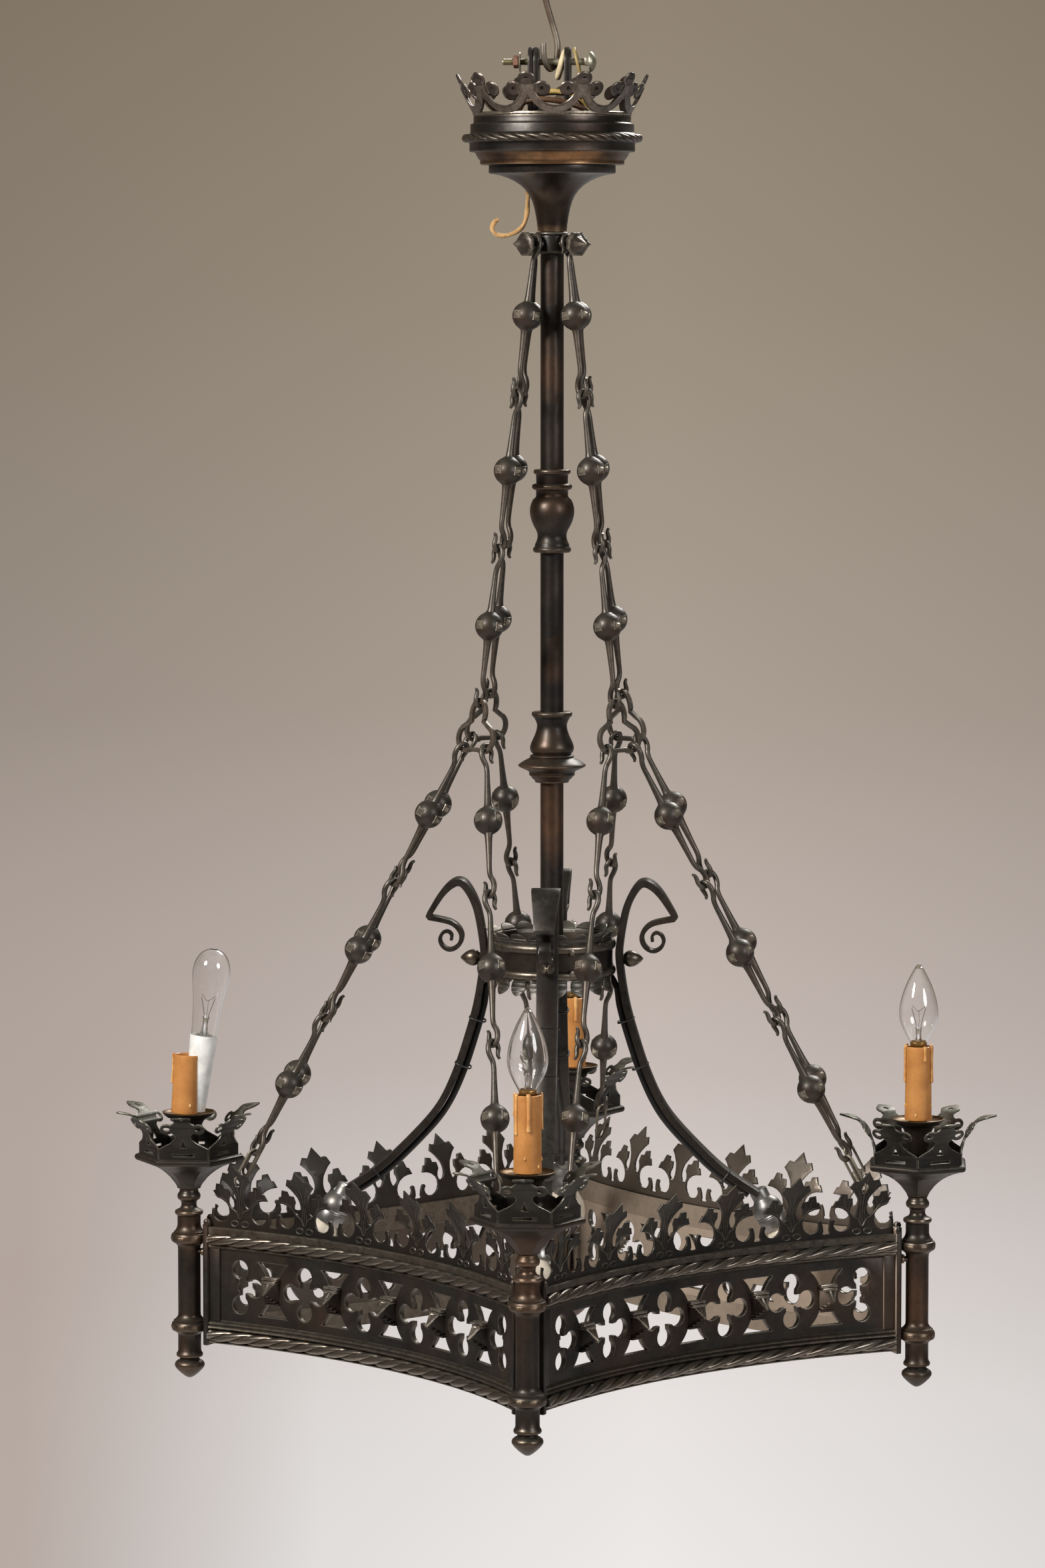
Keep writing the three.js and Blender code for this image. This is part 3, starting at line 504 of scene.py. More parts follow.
CAST = ((22, 18, 15), (50, 43, 37), (146, 136, 120), (68, 47, 34))
cast = iron("bronzed_iron", *CAST, edge=0.62)
# The inner shares here and on the plates below paint pale light on the faces that look toward the stem.
rail_iron = iron("rail_iron", *CAST, edge=0.62, inner=0.6)
PLATE = ((25, 22, 20), (57, 54, 50), (130, 122, 110), (74, 56, 45))
plates = [iron("bronzed_plate", *PLATE, edge=0.4, rim=0.0, inner=0.85),
          iron("bronzed_plate_edge", *PLATE, edge=0.6, rim=0.75)]
rubbed = iron("rubbed_iron", (30, 25, 21), (84, 74, 64), (206, 194, 174),
              (88, 64, 48), edge=0.7, rough=0.34, metal=0.88)
# The rope's light face and worn colours and its dust share paint its lit top pale, as painted highlight besides wear
# and dust.
rope_iron = iron("rope_iron", (44, 38, 33), (110, 102, 92), (224, 216, 202),
                 (88, 68, 54), edge=0.7, rough=0.28, metal=0.85, dust_and_top_light=0.25)
pan_iron = iron("pan_iron", *CAST, rim=0.12)
black_iron = iron("black_iron", (15, 13, 11), (35, 30, 27), (104, 95, 86), (48, 36, 28), edge=0.4)
copper = iron("copper_brown", (28, 25, 23), (62, 54, 47), (156, 134, 110),
              (92, 66, 48), edge=0.6, rough=0.4, metal=0.78)
steel = iron("old_steel", (52, 44, 37), (128, 118, 104), (176, 168, 152),
             (108, 78, 54), edge=0.5, rough=0.5, metal=0.7)
LEAVES = ((23, 20, 18), (48, 44, 40), (120, 113, 100), (62, 47, 38))
# The inner share paints pale light on the leaves' faces that look toward the stem.
leaves = [iron("leaf_plate", *LEAVES, edge=0.4, rim=0.0, dust_and_top_light=0.35, inner=0.25),
          iron("leaf_plate_edge", *LEAVES, edge=0.5, rim=0.8, dust_and_top_light=0.35)]
GREEN = ((24, 22, 19), (46, 42, 37), (146, 144, 130), (58, 48, 38))
# The strong dust share pales the fleurons' upward faces, as dust and as painted reflection of the light above.
fleuron_plates = [iron("fleuron_plate", *GREEN, edge=0.4, rim=0.0, dust_and_top_light=0.8),
                  iron("fleuron_plate_edge", *GREEN, edge=0.6, rim=0.8, dust_and_top_light=0.4)]
print("iron finishes made:", len(bpy.data.materials))

# %% [markdown]
# ## Floor, background and light
#
# The fixture hangs in a studio with a plain pale floor and soft light. The background is darker
# and browner above and pale below, so the world carries that gradient for camera rays, and for
# the rays that metal and glass mirror. The floor is a pale disc far below, which fades out at
# its edge, so that no horizon cuts the picture. Two large soft lamps and a weak one from
# behind do the lighting at a plain level.

# %% World and floor


BACKDROP = [(0.0, (240, 238, 237)), (0.16, (232, 227, 224)), (0.34, (200, 188, 182)),
            (0.55, (172, 159, 148)), (0.78, (154, 142, 126)), (1.0, (141, 128, 111))]
# The darker warm colour low at the left, painted shade where the backdrop's light falls off.
SHADED_WARM_CORNER = (174, 158, 149)
SOFT_LIGHT = (228, 222, 216)


def backdrop_colours(n, across, height):
    """A colour ramp over the height of a ray: brown grey above, pale grey below, with painted fall-off of light:
    darker to the sides, and darker and warmer low at the left."""
    table = n.add("ShaderNodeValToRGB")
    while len(table.color_ramp.elements) < len(BACKDROP):
        table.color_ramp.elements.new(0.5)
    for element, (place, shade) in zip(table.color_ramp.elements, BACKDROP):
        element.position = place
        element.color = colour(*shade)
    n.link(n.ramp(height, -0.24, 0.06), table.inputs["Fac"])
    # Painted fall-off of light: darker toward the sides, and a darker warm corner low at the left.
    far = n.sum("ABSOLUTE", n.sum("ADD", across, 0.045), 0)
    side_shaded = n.mix(n.ramp(far, 0.0, 0.12, 1.0, 0.76), (0, 0, 0, 1), table.outputs["Color"])
    corner = n.sum("MULTIPLY", n.ramp(across, -0.10, -0.15, 0.0, 0.8), n.ramp(height, -0.08, -0.17))
    return n.mix(corner, side_shaded, colour(*SHADED_WARM_CORNER))


n = Nodes("studio", world=True)
bpy.context.scene.world = n.material
n.tree.nodes.clear()
heading = n.add("ShaderNodeSeparateXYZ")
n.link(n.add("ShaderNodeTexCoord").outputs["Generated"], heading.inputs[0])
backdrop = backdrop_colours(n, heading.outputs["X"], heading.outputs["Z"])
seen = n.add("ShaderNodeBackground", Strength=1.0)
soft = n.add("ShaderNodeBackground", Color=colour(*SOFT_LIGHT), Strength=0.3)
mirrored = n.add("ShaderNodeBackground", Strength=0.5)
n.link(backdrop, seen.inputs["Color"])
n.link(backdrop, mirrored.inputs["Color"])
path = n.add("ShaderNodeLightPath").outputs
clear = n.sum("MAXIMUM", path["Is Camera Ray"], path["Is Transmission Ray"])
light = soft
for share, other in ((path["Is Glossy Ray"], mirrored), (clear, seen)):
    blend = n.add("ShaderNodeMixShader")
    n.link(share, blend.inputs["Fac"])
    n.link(light.outputs[0], blend.inputs[1])
    n.link(other.outputs[0], blend.inputs[2])
    light = blend
n.link(light.outputs[0], n.add("ShaderNodeOutputWorld").inputs["Surface"])

FLOOR_Z = -2.6
FLOOR_R = 3.6
floor_mesh = bpy.data.meshes.new("floor")
rim = [(FLOOR_R * math.cos(k * 5 * DEG), FLOOR_R * math.sin(k * 5 * DEG), FLOOR_Z) for k in range(72)]
floor_mesh.from_pydata(rim, [], [tuple(range(72))])
floor = bpy.data.objects.new("floor", floor_mesh)
bpy.context.scene.collection.objects.link(floor)
n = Nodes("pale_floor")
n.keep(Base_Color=colour(222, 216, 212), Roughness=0.9)
radius = n.add("ShaderNodeVectorMath", operation="LENGTH")
n.link(n.add("ShaderNodeTexCoord").outputs["Object"], radius.inputs[0])
fade = n.ramp(radius.outputs["Value"], 3.1, FLOOR_R + 0.8, 1.0, 0.0)
under = n.add("ShaderNodeNewGeometry").outputs["Backfacing"]
cover = n.sum("MULTIPLY", fade, n.sum("SUBTRACT", 1.0, under))
n.link(cover, n.shader.inputs["Alpha"])
floor_mesh.materials.append(n.material)
print("floor", FLOOR_R * 2, "m across at", FLOOR_Z, "m")

# %% Lamps


def soft_lamp(name, place, aim, size, power, tint):
    light = bpy.data.lights.new(name, "AREA")
    light.shape = "DISK"
    light.size = size
    light.energy = power
    light.color = tint
    lamp = bpy.data.objects.new(name, light)
    lamp.location = place
    lamp.rotation_euler = (Vector(aim) - Vector(place)).to_track_quat("-Z", "Y").to_euler()
    bpy.context.scene.collection.objects.link(lamp)
    return lamp


MIDDLE = (0, 0, -0.9)
soft_lamp("key", (-2.5, -2.6, 1.3), MIDDLE, 1.3, 230, (1.0, 0.97, 0.93))
soft_lamp("fill", (2.9, -2.6, 0.5), MIDDLE, 1.6, 70, (0.98, 0.98, 1.0))
soft_lamp("back", (1.2, 2.8, 1.6), MIDDLE, 1.4, 90, (1.0, 0.98, 0.95))

# %% [markdown]
# ## Loose wire
#
# A short end of the cloth-covered supply wire comes out behind the canopy's trumpet, hangs down and
# hooks back at its bare end. It is a cord of real length, so it follows its route point by
# point, and two twisted cores under the cloth show as a shallow spiral.

# %% Loose wire
WIRE_ROUTE = [
    (-0.0234, 0.021, -0.2266), (-0.023, 0.0218, -0.2315), (-0.0232, 0.022, -0.24), (-0.024, 0.0224, -0.25),
    (-0.027, 0.0224, -0.2595), (-0.033, 0.0224, -0.265), (-0.042, 0.0224, -0.2685), (-0.0505, 0.0224, -0.268),
    (-0.055, 0.0224, -0.2625), (-0.0525, 0.0224, -0.2565), (-0.049, 0.0224, -0.254),
]
WIRE_THICK = 0.0046


def cloth_finish(name, light, dark):
    n = Nodes(name)
    place = n.add("ShaderNodeTexCoord").outputs["Object"]
    weave = n.noise(place, 1400, 2, 0.5)
    soil = n.noise(place, 120, 4, 0.6)
    n.link(n.mix(n.ramp(n.sum("ADD", weave, soil), 0.8, 1.25), light, dark), n.shader.inputs["Base Color"])
    n.keep(Roughness=0.9, Sheen_Weight=0.3)
    n.relief(weave, 0.4, 0.0003)
    return n.material


tan_cloth = cloth_finish("tan_cloth", colour(200, 160, 104), colour(136, 98, 58))
route = flow([tuple(1000 * v for v in p) for p in WIRE_ROUTE], 8)
core = []
for a in range(0, 360, 24):
    r = WIRE_THICK * 500 * (0.9 + 0.1 * math.cos(2 * a * DEG))
    core.append((r * math.cos(a * DEG), r * math.sin(a * DEG)))
spiral = np.linspace(0, 16, len(route))
loose_wire = piece("loose_supply_wire", [swept(route, core, twist=spiral, up=(0.31, 0.95, 0.05))], [tan_cloth],
                   "canopy", ["loose_wire"])

# %% [markdown]
# ## Sides of the ring
#
# Each side of the ring is a plate bent to a shallow arc, pierced with roundels, and framed by a
# moulded rail above and below with a twisted rope lying on it. The plate is cut flat and then every
# point is carried onto the arc, so the holes stay true. A faceted stud stands between each pair of
# roundels.

# %% The arc of a side
CORNER_R = 328.0
SAGITTA = 45.0
HALF_CHORD = CORNER_R / math.sqrt(2)
ARC_R = (HALF_CHORD ** 2 + SAGITTA ** 2) / (2 * SAGITTA)
SIDE_MID_R = HALF_CHORD - SAGITTA
BAYS = 6
BAY_PITCH = 73.0
PANEL_HALF = 214.0
RAIL_TOP_Z = -1157.0
FIELD_MID_Z = -1209.5
CORNERS = {"front": -90, "right": 0, "back": 90, "left": 180}
SIDES = {"front_right": (-45, ("front", "right")), "back_right": (45, ("right", "back")),
         "back_left": (135, ("back", "left")), "front_left": (-135, ("left", "front"))}


def bent(angle):
    """The change that carries x along a side, y outward and z up onto the arc of the side at that angle."""
    turn = (angle - 90) * DEG

    def change(x, y, z):
        across = np.sin(x / ARC_R) * (ARC_R - y)
        away = SIDE_MID_R + ARC_R - np.cos(x / ARC_R) * (ARC_R - y)
        return (across * math.cos(turn) - away * math.sin(turn),
                across * math.sin(turn) + away * math.cos(turn), z)

    return change


def on_side(angle, s, out, z):
    return Vector([float(v) for v in bent(angle)(np.float64(s), np.float64(out), z)])


def bays():
    """The middle of each roundel along the side."""
    return [(i - (BAYS - 1) / 2) * BAY_PITCH for i in range(BAYS)]


def along(section, half=PANEL_HALF + 0.5, step=4.0):
    """A straight bar of a section of outward place and height, laid along x, with a ring every step."""
    rows = np.linspace(-half, half, int(2 * half / step) + 1)
    path = [(x, 0, 0) for x in rows]
    return swept(path, [(z, -out) for out, z in section], up=(0, 0, 1), fixed=True)


print("arc radius", round(ARC_R, 1), "mm, bay", BAY_PITCH, "mm")

# %% Pierced plate
LOBE_R = 8.3
LOBE_DISTANCE = 16.0
CUSP = 7.4
ROUNDEL_R = 32.0


def roundel_hole(middle, outer=0):
    """Four lobes with cusps between. At a side's end the outer lobe is a straight stepped edge."""
    ring = []
    straight = {-1: 180, 1: 0}.get(outer)
    for heading in (0, 90, 180, 270):
        if heading == straight:
            ring += [(x, -outer * z) for x, z in ((0, 7.7), (0, 2.6), (outer * 1.6, 2.6), (outer * 1.6, -2.6),
                                                  (0, -2.6), (0, -7.7))]
            continue
        after = (heading - 90) % 360 == straight
        before = (heading + 90) % 360 == straight
        cx, cz = LOBE_DISTANCE * math.cos(heading * DEG), LOBE_DISTANCE * math.sin(heading * DEG)
        ring += bow(cx, cz, LOBE_R, heading - (176 if after else 138), heading + (176 if before else 138), 14)
        if not before:
            tip = (heading + 45) * DEG
            ring.append((CUSP * math.cos(tip), CUSP * math.sin(tip)))
    return [(middle + x, z) for x, z in ring]


def slot_hole(middle, up):
    """A trapezoid slot whose slanting sides follow the two roundels beside it."""
    right = [(BAY_PITCH / 2 - math.sqrt(ROUNDEL_R ** 2 - z * z), z) for z in np.linspace(11.6, 24.4, 6)]
    ring = right + [(-x, z) for x, z in reversed(right)]
    return [(middle + x, up * z) for x, z in (ring if up > 0 else reversed(ring))]


def pierced_plate():
    top = [(x, 34.5) for x in np.linspace(-PANEL_HALF, PANEL_HALF, 60)]
    outline = [(x, -34.5) for x in np.linspace(-PANEL_HALF, PANEL_HALF, 60)] + top[::-1]
    holes = []
    for i, middle in enumerate(bays()):
        holes.append(roundel_hole(middle, {0: -1, BAYS - 1: 1}.get(i, 0)))
        if i < BAYS - 1:
            holes += [slot_hole(middle + BAY_PITCH / 2, up) for up in (1, -1)]
    plate = slab(outline, holes, 5.0, 0.7, far=-3.5)
    return put(fine(plate, 8, axis=0), (0, 0, FIELD_MID_Z))


plate_flat = pierced_plate()
print("pierced plate:", len(plate_flat[1]), "faces")

# %% Rails, ropes, studs and end strips
ROPE_R = 5.2
ROPE_TURN = 66.0
ROPE_STRANDS = 3


def strands(radius, step):
    """The lobed section of a rope of three strands, with a point every step degrees."""
    section = []
    for a in range(0, 360, step):
        r = radius * (0.64 + 0.38 * abs(math.cos(ROPE_STRANDS * a * DEG / 2)) ** 0.6)
        section.append((r * math.cos(a * DEG), r * math.sin(a * DEG)))
    return section


def rope(z):
    """A rope on a side: a bar whose lobed section turns along its length."""
    rows = np.linspace(-PANEL_HALF, PANEL_HALF, 236)
    path = [(x, 4.4, z) for x in rows]
    return swept(path, strands(ROPE_R, 10), twist=-rows / ROPE_TURN * 2 * math.pi, up=(0, 0, 1), fixed=True)


def rails():
    top = RAIL_TOP_Z
    upper = [(-4, top), (3.9, top), (4.6, top - 0.7), (4.6, top - 5.6), (3.9, top - 6.4), (2.4, top - 6.8),
             (2.4, top - 15.6), (4.1, top - 16.2), (4.4, top - 16.9), (4.4, top - 18.4), (3.8, top - 19),
             (2.6, top - 19.4), (1.6, top - 20.6), (-3.5, top - 20.6), (-4, top - 20)]
    low = FIELD_MID_Z - 33
    lower = [(1.5, low + 1), (2.6, low - 0.2), (4.4, low - 0.9), (5.2, low - 1.9), (4.9, low - 2.9), (4, low - 3.4),
             (4.6, low - 4), (5.8, low - 4.7), (6.2, low - 5.7), (5.6, low - 6.7), (4, low - 7.3), (2.4, low - 7.8),
             (2.4, low - 18.3), (4.4, low - 18.7), (4.8, low - 19.3), (4.4, low - 20), (-4, low - 20), (-4, low + 1)]
    return [along(upper), along(lower)]


def stud(middle):
    """A faceted boss: two ledges above, ribs that fan to its point, and steps below it."""
    shapes = [paint(block((-8.6, 1, 10), (8.6, 7.4, 12.6), 0.5), 3)]
    shapes.append(paint(block((-7.6, 1, 7.2), (7.6, 9, 9.6), 0.5), 3))
    shapes.append(facets([(-7, 1, 7.4), (7, 1, 7.4), (-7, 8, 7.4), (7, 8, 7.4), (-7, 1, -9), (7, 1, -9),
                          (0, 16.2, -2.2)]))
    for x in (-5.6, 0, 5.6):
        rib = facets([(x - 1.5, 7, 7.4), (x + 1.5, 7, 7.4), (x, 10, 7.3), (x, 6, 5), (-0.6, 16.2, -2.4),
                      (0.6, 16.2, -2.4), (0, 17.4, -1.6), (0, 15, -3)])
        shapes.append(paint(rib, 3))
    for z, out, half in ((-3.4, 13.4, 3.4), (-6, 10.6, 5.2), (-8.6, 7.8, 6.8), (-11.4, 5, 8)):
        shapes.append(block((-half, 1, z - 1), (half, out, z + 1), 0.4))
    return [put(s, (middle, 0, FIELD_MID_Z)) for s in shapes]


def end_strip(hand):
    """The upright strip at a side's end, its knob, and the flat border beside it."""
    x = hand * (PANEL_HALF + 3.4)
    strip = block((x - 2.6, -7, FIELD_MID_Z - 55.5), (x + 2.6, 6.4, FIELD_MID_Z + 55), 1.0)
    knob = put(turned([(0, -3.4), (2.2, -2.8), (3.4, -0.8), (3.4, 1), (2.2, 2.9), (0, 3.6)], 16),
               (x - hand * 1.5, 4.6, FIELD_MID_Z + 56.6))
    border = block((min(hand * 203.6, hand * 214.6), 0.6, FIELD_MID_Z - 33), (max(hand * 203.6, hand * 214.6), 3.6,
                   FIELD_MID_Z + 34), 0.9)
    return [strip, knob, border]


for side, (angle, ends) in SIDES.items():
    shapes = [reshape(plate_flat, bent(angle))]
    shapes += [paint(reshape(s, bent(angle)), 2) for s in rails()]
    trim = [s for middle in bays()[:-1] for s in stud(middle + BAY_PITCH / 2)]
    for hand in (-1, 1):
        trim += end_strip(hand)
    shapes += [reshape(s, bent(angle)) for s in trim]
    shapes += [paint(reshape(rope(z), bent(angle)), 3) for z in (RAIL_TOP_Z - 11, FIELD_MID_Z - 46)]
    piece("pierced_side_" + side, shapes, [*plates, rail_iron, rope_iron], "fixture", ["side_panel_" + side])
print("sides of the ring made:", len(SIDES))

# %% [markdown]
# ## Cresting
#
# A band of cut leaves stands on each side. Every leaf has a stem between two round arches, two
# side lobes and a five-pointed head, and it leans out of the ring. The plate is cut flat with
# all six leaves in one outline, leaned, and then bent to the arc. Raised veins and small oval
# rings along the foot are laid on its outer face.

# %% Cresting
LEAF_TOP = 59.5
LEAN_FROM = 20.0
LEAN_OUT = 15.0
CREST_HALF = 1.0
HALF_LEAF = [
    (36.5, 4.2), (33.1, 4.2), (33.1, 5.8), (33.8, 6.6), (33.3, 11), (32.3, 14.6), (31.6, 16.2), (30.2, 16.9),
    (28.4, 16.4), (27.3, 14.6), (28.5, 13.2), (28.7, 11.2), (27.6, 8.8), (25.6, 6.8), (22.6, 5.6), (19, 5.6),
    (15.6, 7.2), (13, 10.2), (11.9, 14.6), (12.6, 18.8), (15, 22.4), (19.4, 25.4), (24.6, 27), (30.6, 27.4),
    (27.7, 33.4),
    (25.2, 33.8), (22.8, 40.1), (17.2, 39.4), (16.2, 35.6), (11.2, 35.2), (10, 29.6), (12, 26), (12.4, 22.6),
    (10.8, 19.6), (8.2, 18.6), (6, 20.2), (4.5, 24), (4.2, 27.4), (4.8, 31), (5.9, 34.4), (8.7, 38.2), (11.7, 41.8),
    (16, 45.3), (12.4, 51.4), (7, 50.6), (0, LEAF_TOP),
]


def lean(z):
    return LEAN_OUT * (np.maximum(z - RAIL_TOP_Z - LEAN_FROM, 0) / (LEAF_TOP - LEAN_FROM)) ** 1.6


def leaned(shape):
    return reshape(shape, lambda x, y, z: (x, y + lean(z), z))


def cresting_flat():
    skyline = []
    for middle in bays():
        skyline += [(middle - x, z) for x, z in HALF_LEAF]
        skyline += [(middle + x, z) for x, z in reversed(HALF_LEAF[1:-1])]
    skyline = [(-PANEL_HALF, 0), (-PANEL_HALF, 6), *[p for p in skyline if abs(p[0]) < PANEL_HALF - 1],
               (PANEL_HALF, 6)]
    foot = [(x, 0) for x in np.linspace(PANEL_HALF, -PANEL_HALF, 60)[:-1]]
    holes = []
    for middle in (bays()[0], bays()[-1]):
        holes.append([(middle + x, z) for x, z in bow(0, 43, 3.4, 0, 345, 23, rz=4.6)])
    plate = slab(skyline + foot, holes, 2 * CREST_HALF, 0.35, far=-CREST_HALF)
    return put(fine(fine(plate, 8, axis=0), 5), (0, 0, RAIL_TOP_Z + 0.3))


def vein(points, width):
    """A low raised ridge on the outer face through points across and up, drawn out at its end."""
    line = [(x, CREST_HALF, RAIL_TOP_Z + 0.3 + z) for x, z in points]
    return wire(line, width, 6, 4, ends=(1, 0.9, 0.7, 0.3))


def leaf_relief(middle):
    shapes = []
    for hand in (-1, 1):
        rows = [
            ([(0.6, 9), (4, 15), (9.6, 18.4), (14.4, 24), (18.4, 30), (20, 37.6)], 0.8),
            ([(14.4, 24), (20, 27.6), (27, 29)], 0.6), ([(14.4, 25), (14, 30), (12.6, 33.6)], 0.5),
            ([(2.4, 11), (2.2, 24), (2.8, 34), (6.4, 41), (11.4, 47.6)], 0.7),
        ]
        for points, width in rows:
            shapes.append(vein([(middle + hand * x, z) for x, z in points], width))
        oval = [(middle + hand * 5.6 + x, CREST_HALF, RAIL_TOP_Z + z)
                for x, z in bow(0, 4.7, 3.9, 0, 345, 23, rz=2.5)]
        shapes.append(wire(oval, 0.75, 6, 2, loop=True))
    shapes.append(vein([(middle, 12), (middle, 30), (middle, 42), (middle, 56)], 0.8))
    return shapes


crest_flat = leaned(cresting_flat())
relief = [leaned(shape) for middle in bays() for shape in leaf_relief(middle)]
for side, (angle, ends) in SIDES.items():
    shapes = [reshape(crest_flat, bent(angle))] + [paint(reshape(s, bent(angle)), 1) for s in relief]
    piece("leaf_cresting_" + side, shapes, leaves, "fixture", ["cresting_" + side])
print("cresting:", len(crest_flat[1]), "faces on each side")

# %% [markdown]
# ## Corner posts
#
# A turned post stands at each corner: neck rings, a drum, a collar of an octagonal plate on a
# round torus, a plain shaft, the same collar below, a short drum, and an acorn. Two pins near
# the top tie it to the strips of the sides.

# %% Corner posts
FINIAL_TIP_Z = -1297.0
POST = [
    (0, 0), (2.2, 0.5), (5, 2.2), (8.4, 5.0), (11.6, 8.2), (13.3, 10.6), (13.6, 12.4), (13, 14.3), (11, 16), (9, 17),
    (8.8, 18.3), (9.3, 19.1), (11.5, 19.8), (12.1, 21.2), (11.8, 22.8), (10.9, 23.8), (10.8, 24.6), (10.4, 25.4),
    (10.4, 39.8), (11, 41.2), (13.4, 43), (15.4, 44), (16.3, 46), (16.3, 49.2), (15.6, 51), (14.4, 51.9), (14.4, 53),
    (12.6, 54.2), (11.5, 55.6), (10.4, 57), (10.2, 60), (10.2, 118), (10.5, 121), (11.8, 122.4), (13, 123.4),
    (14.8, 124.4), (16, 125.8), (16.3, 127.6), (16.3, 130.2), (15.4, 132), (13.8, 132.6), (13.8, 133.8), (12.4, 135),
    (11, 137.6), (10.5, 140), (10.5, 148.6), (12.2, 149.6), (12.9, 151.2), (12.4, 153), (10.4, 154), (8.2, 155.2),
    (7, 157), (6.9, 160), (7.8, 162.2), (9.8, 163.4), (10.5, 165.2), (10.4, 167.4), (9.4, 169), (8.5, 170.4),
    (8.4, 172.2), (0, 172.2),
]


def post_shapes():
    shapes = [put(turned(POST, 48), (0, 0, FINIAL_TIP_Z))]
    for z in (48.2, 128.6):
        shapes.append(put(turned([(12, z - 1.4), (16.9, z - 1.2), (17.2, z - 0.8), (17.2, z + 0.8), (16.9, z + 1.2),
                                  (12, z + 1.4)], 8, 22.5 * DEG), (0, 0, FINIAL_TIP_Z)))
    for hand in (-1, 1):
        pin = turned([(0, 8.5), (1.7, 8.5), (1.7, 13.2), (3.1, 13.4), (3.4, 14.6), (3.1, 15.8), (1.7, 16), (1.7, 17),
                      (0, 17)], 14)
        pin = put(pin, tilt=SIDEWAYS)
        shapes.append(put(pin, (0, 0, -1181), 180 + hand * 23))
    return shapes


def corner_place(name):
    turn = CORNERS[name]
    return (CORNER_R * math.cos(turn * DEG), CORNER_R * math.sin(turn * DEG), 0)


for name, turn in CORNERS.items():
    shapes = [put(s, corner_place(name), turn) for s in post_shapes()]
    piece("corner_post_turned_" + name, shapes, [copper], "fixture", ["corner_post_" + name])
print("posts:", len(POST), "rows in the profile")

# %% [markdown]
# ## Drip pans
#
# The pan is a hollow hexagonal trumpet with a beaded rim. Its gallery is six cut walls, each with
# a slot at its foot, a small pointed hole, and a neck that opens into two side loops and a tip
# bent outward. A round bobeche sits in the middle on a flared foot.

# %% Drip pans
RIM_Z = -1096.0
TIER_Z = RIM_Z + 38
SLEEVE_Z = RIM_Z + 41
GALLERY_R = 38.6
HALF_FLEURON = [
    (22, 0), (22, 13.2), (20.6, 14.2), (17, 16), (12, 18.6), (8.6, 21.6), (7.2, 24), (7, 26.4), (8.4, 27.8),
    *bow(14.2, 33.6, 5.9, -132, 122, 12), (8.2, 40.4), (6.6, 43), (7.4, 45.6), (8.9, 48.6), (9.1, 51.2),
    (7.6, 54.6), (4.8, 58.2), (2, 61.2), (0, 62.4),
]
FLEURON_BEND = flow([
    (0, 0, 0), (13.7, 0, 13.7), (20.2, 1.6, 20), (28, 4.2, 27.4), (35.6, 8.4, 33.7), (43.7, 13.7, 39.9),
    (49.6, 18.9, 42.6), (56.1, 25.2, 44.1), (62.4, 31.4, 45.1),
], 4)


def fleuron_reach(x, y, z):
    """The wall stands up to the neck, from where the fleuron bends out over the rim: the rows of the
    bend are the length along the plate, the way outward and the height over the rim."""
    length, out, up = FLEURON_BEND.T
    steep = np.arctan2(np.gradient(up), np.gradient(out))
    turn = np.interp(z, length, steep)
    return (x, GALLERY_R + np.interp(z, length, out) + y * np.sin(turn),
            RIM_Z + np.interp(z, length, up) - y * np.cos(turn))


def fleuron():
    holes = [[(-9.8, 6.4), (9.8, 6.4), (9.8, 8.6), (-9.8, 8.6)], [(-3, 14), (3, 14), (1.1, 18), (0, 22), (-1.1, 18)]]
    for hand in (-1, 1):
        holes.append([(hand * 14.4 + x, 33.6 + z) for x, z in bow(0, 0, 3.1, 0, 340, 17, rz=2.4)])
    holes.append([(x, 50.5 + z) for x, z in bow(0, 0, 2.1, 0, 340, 17, rz=2.6)])
    flat = slab(mirror(HALF_FLEURON), holes, 1.7, 0.35, far=-0.85)
    return fine(flat)


PAN_OUT = [
    (8.5, -1124.2), (10.4, -1124), (11, -1122), (12.6, -1119.4), (14.6, -1117), (17, -1114), (20.4, -1110.8),
    (24.8, -1107.4), (30, -1104.4), (36, -1101.8), (42, -1099.8), (46.4, -1098.9), (48, -1098.2), (49, -1096.8),
    (49.2, -1095.2), (48.6, -1093.8), (47, -1092.8), (45.6, -1092.4), (44.6, -1091.8),
]
PAN_IN = [(40, -1092.4), (36, -1094.6), (28, -1098.4), (21, -1101.6), (15.6, -1105.6), (12, -1110.6), (9.4, -1117),
          (7.4, -1121), (0, -1121)]
BOBECHE = [
    (8.6, TIER_Z - 28), (9.4, TIER_Z - 22), (10.8, TIER_Z - 14), (12.6, TIER_Z - 7), (14.2, TIER_Z - 4),
    (15, TIER_Z - 2.6), (19.5, TIER_Z - 1), (22.4, TIER_Z + 1.4), (23.5, TIER_Z + 3.2), (23.6, TIER_Z + 3.8),
    (23.1, TIER_Z + 4), (21.8, TIER_Z + 2.4), (18, TIER_Z + 0.9), (12, TIER_Z + 0.6), (10, TIER_Z + 0.6),
]
brass = iron("old_brass", (70, 48, 24), (150, 112, 58), (204, 170, 104), (112, 74, 36),
             edge=0.6, rough=0.42, metal=0.85)


def lean_turn(degrees, toward):
    """The turn that leans a thing by some degrees toward a heading."""
    return Matrix.Rotation(degrees * DEG, 4, Vector((-math.sin(toward * DEG), math.cos(toward * DEG), 0)))


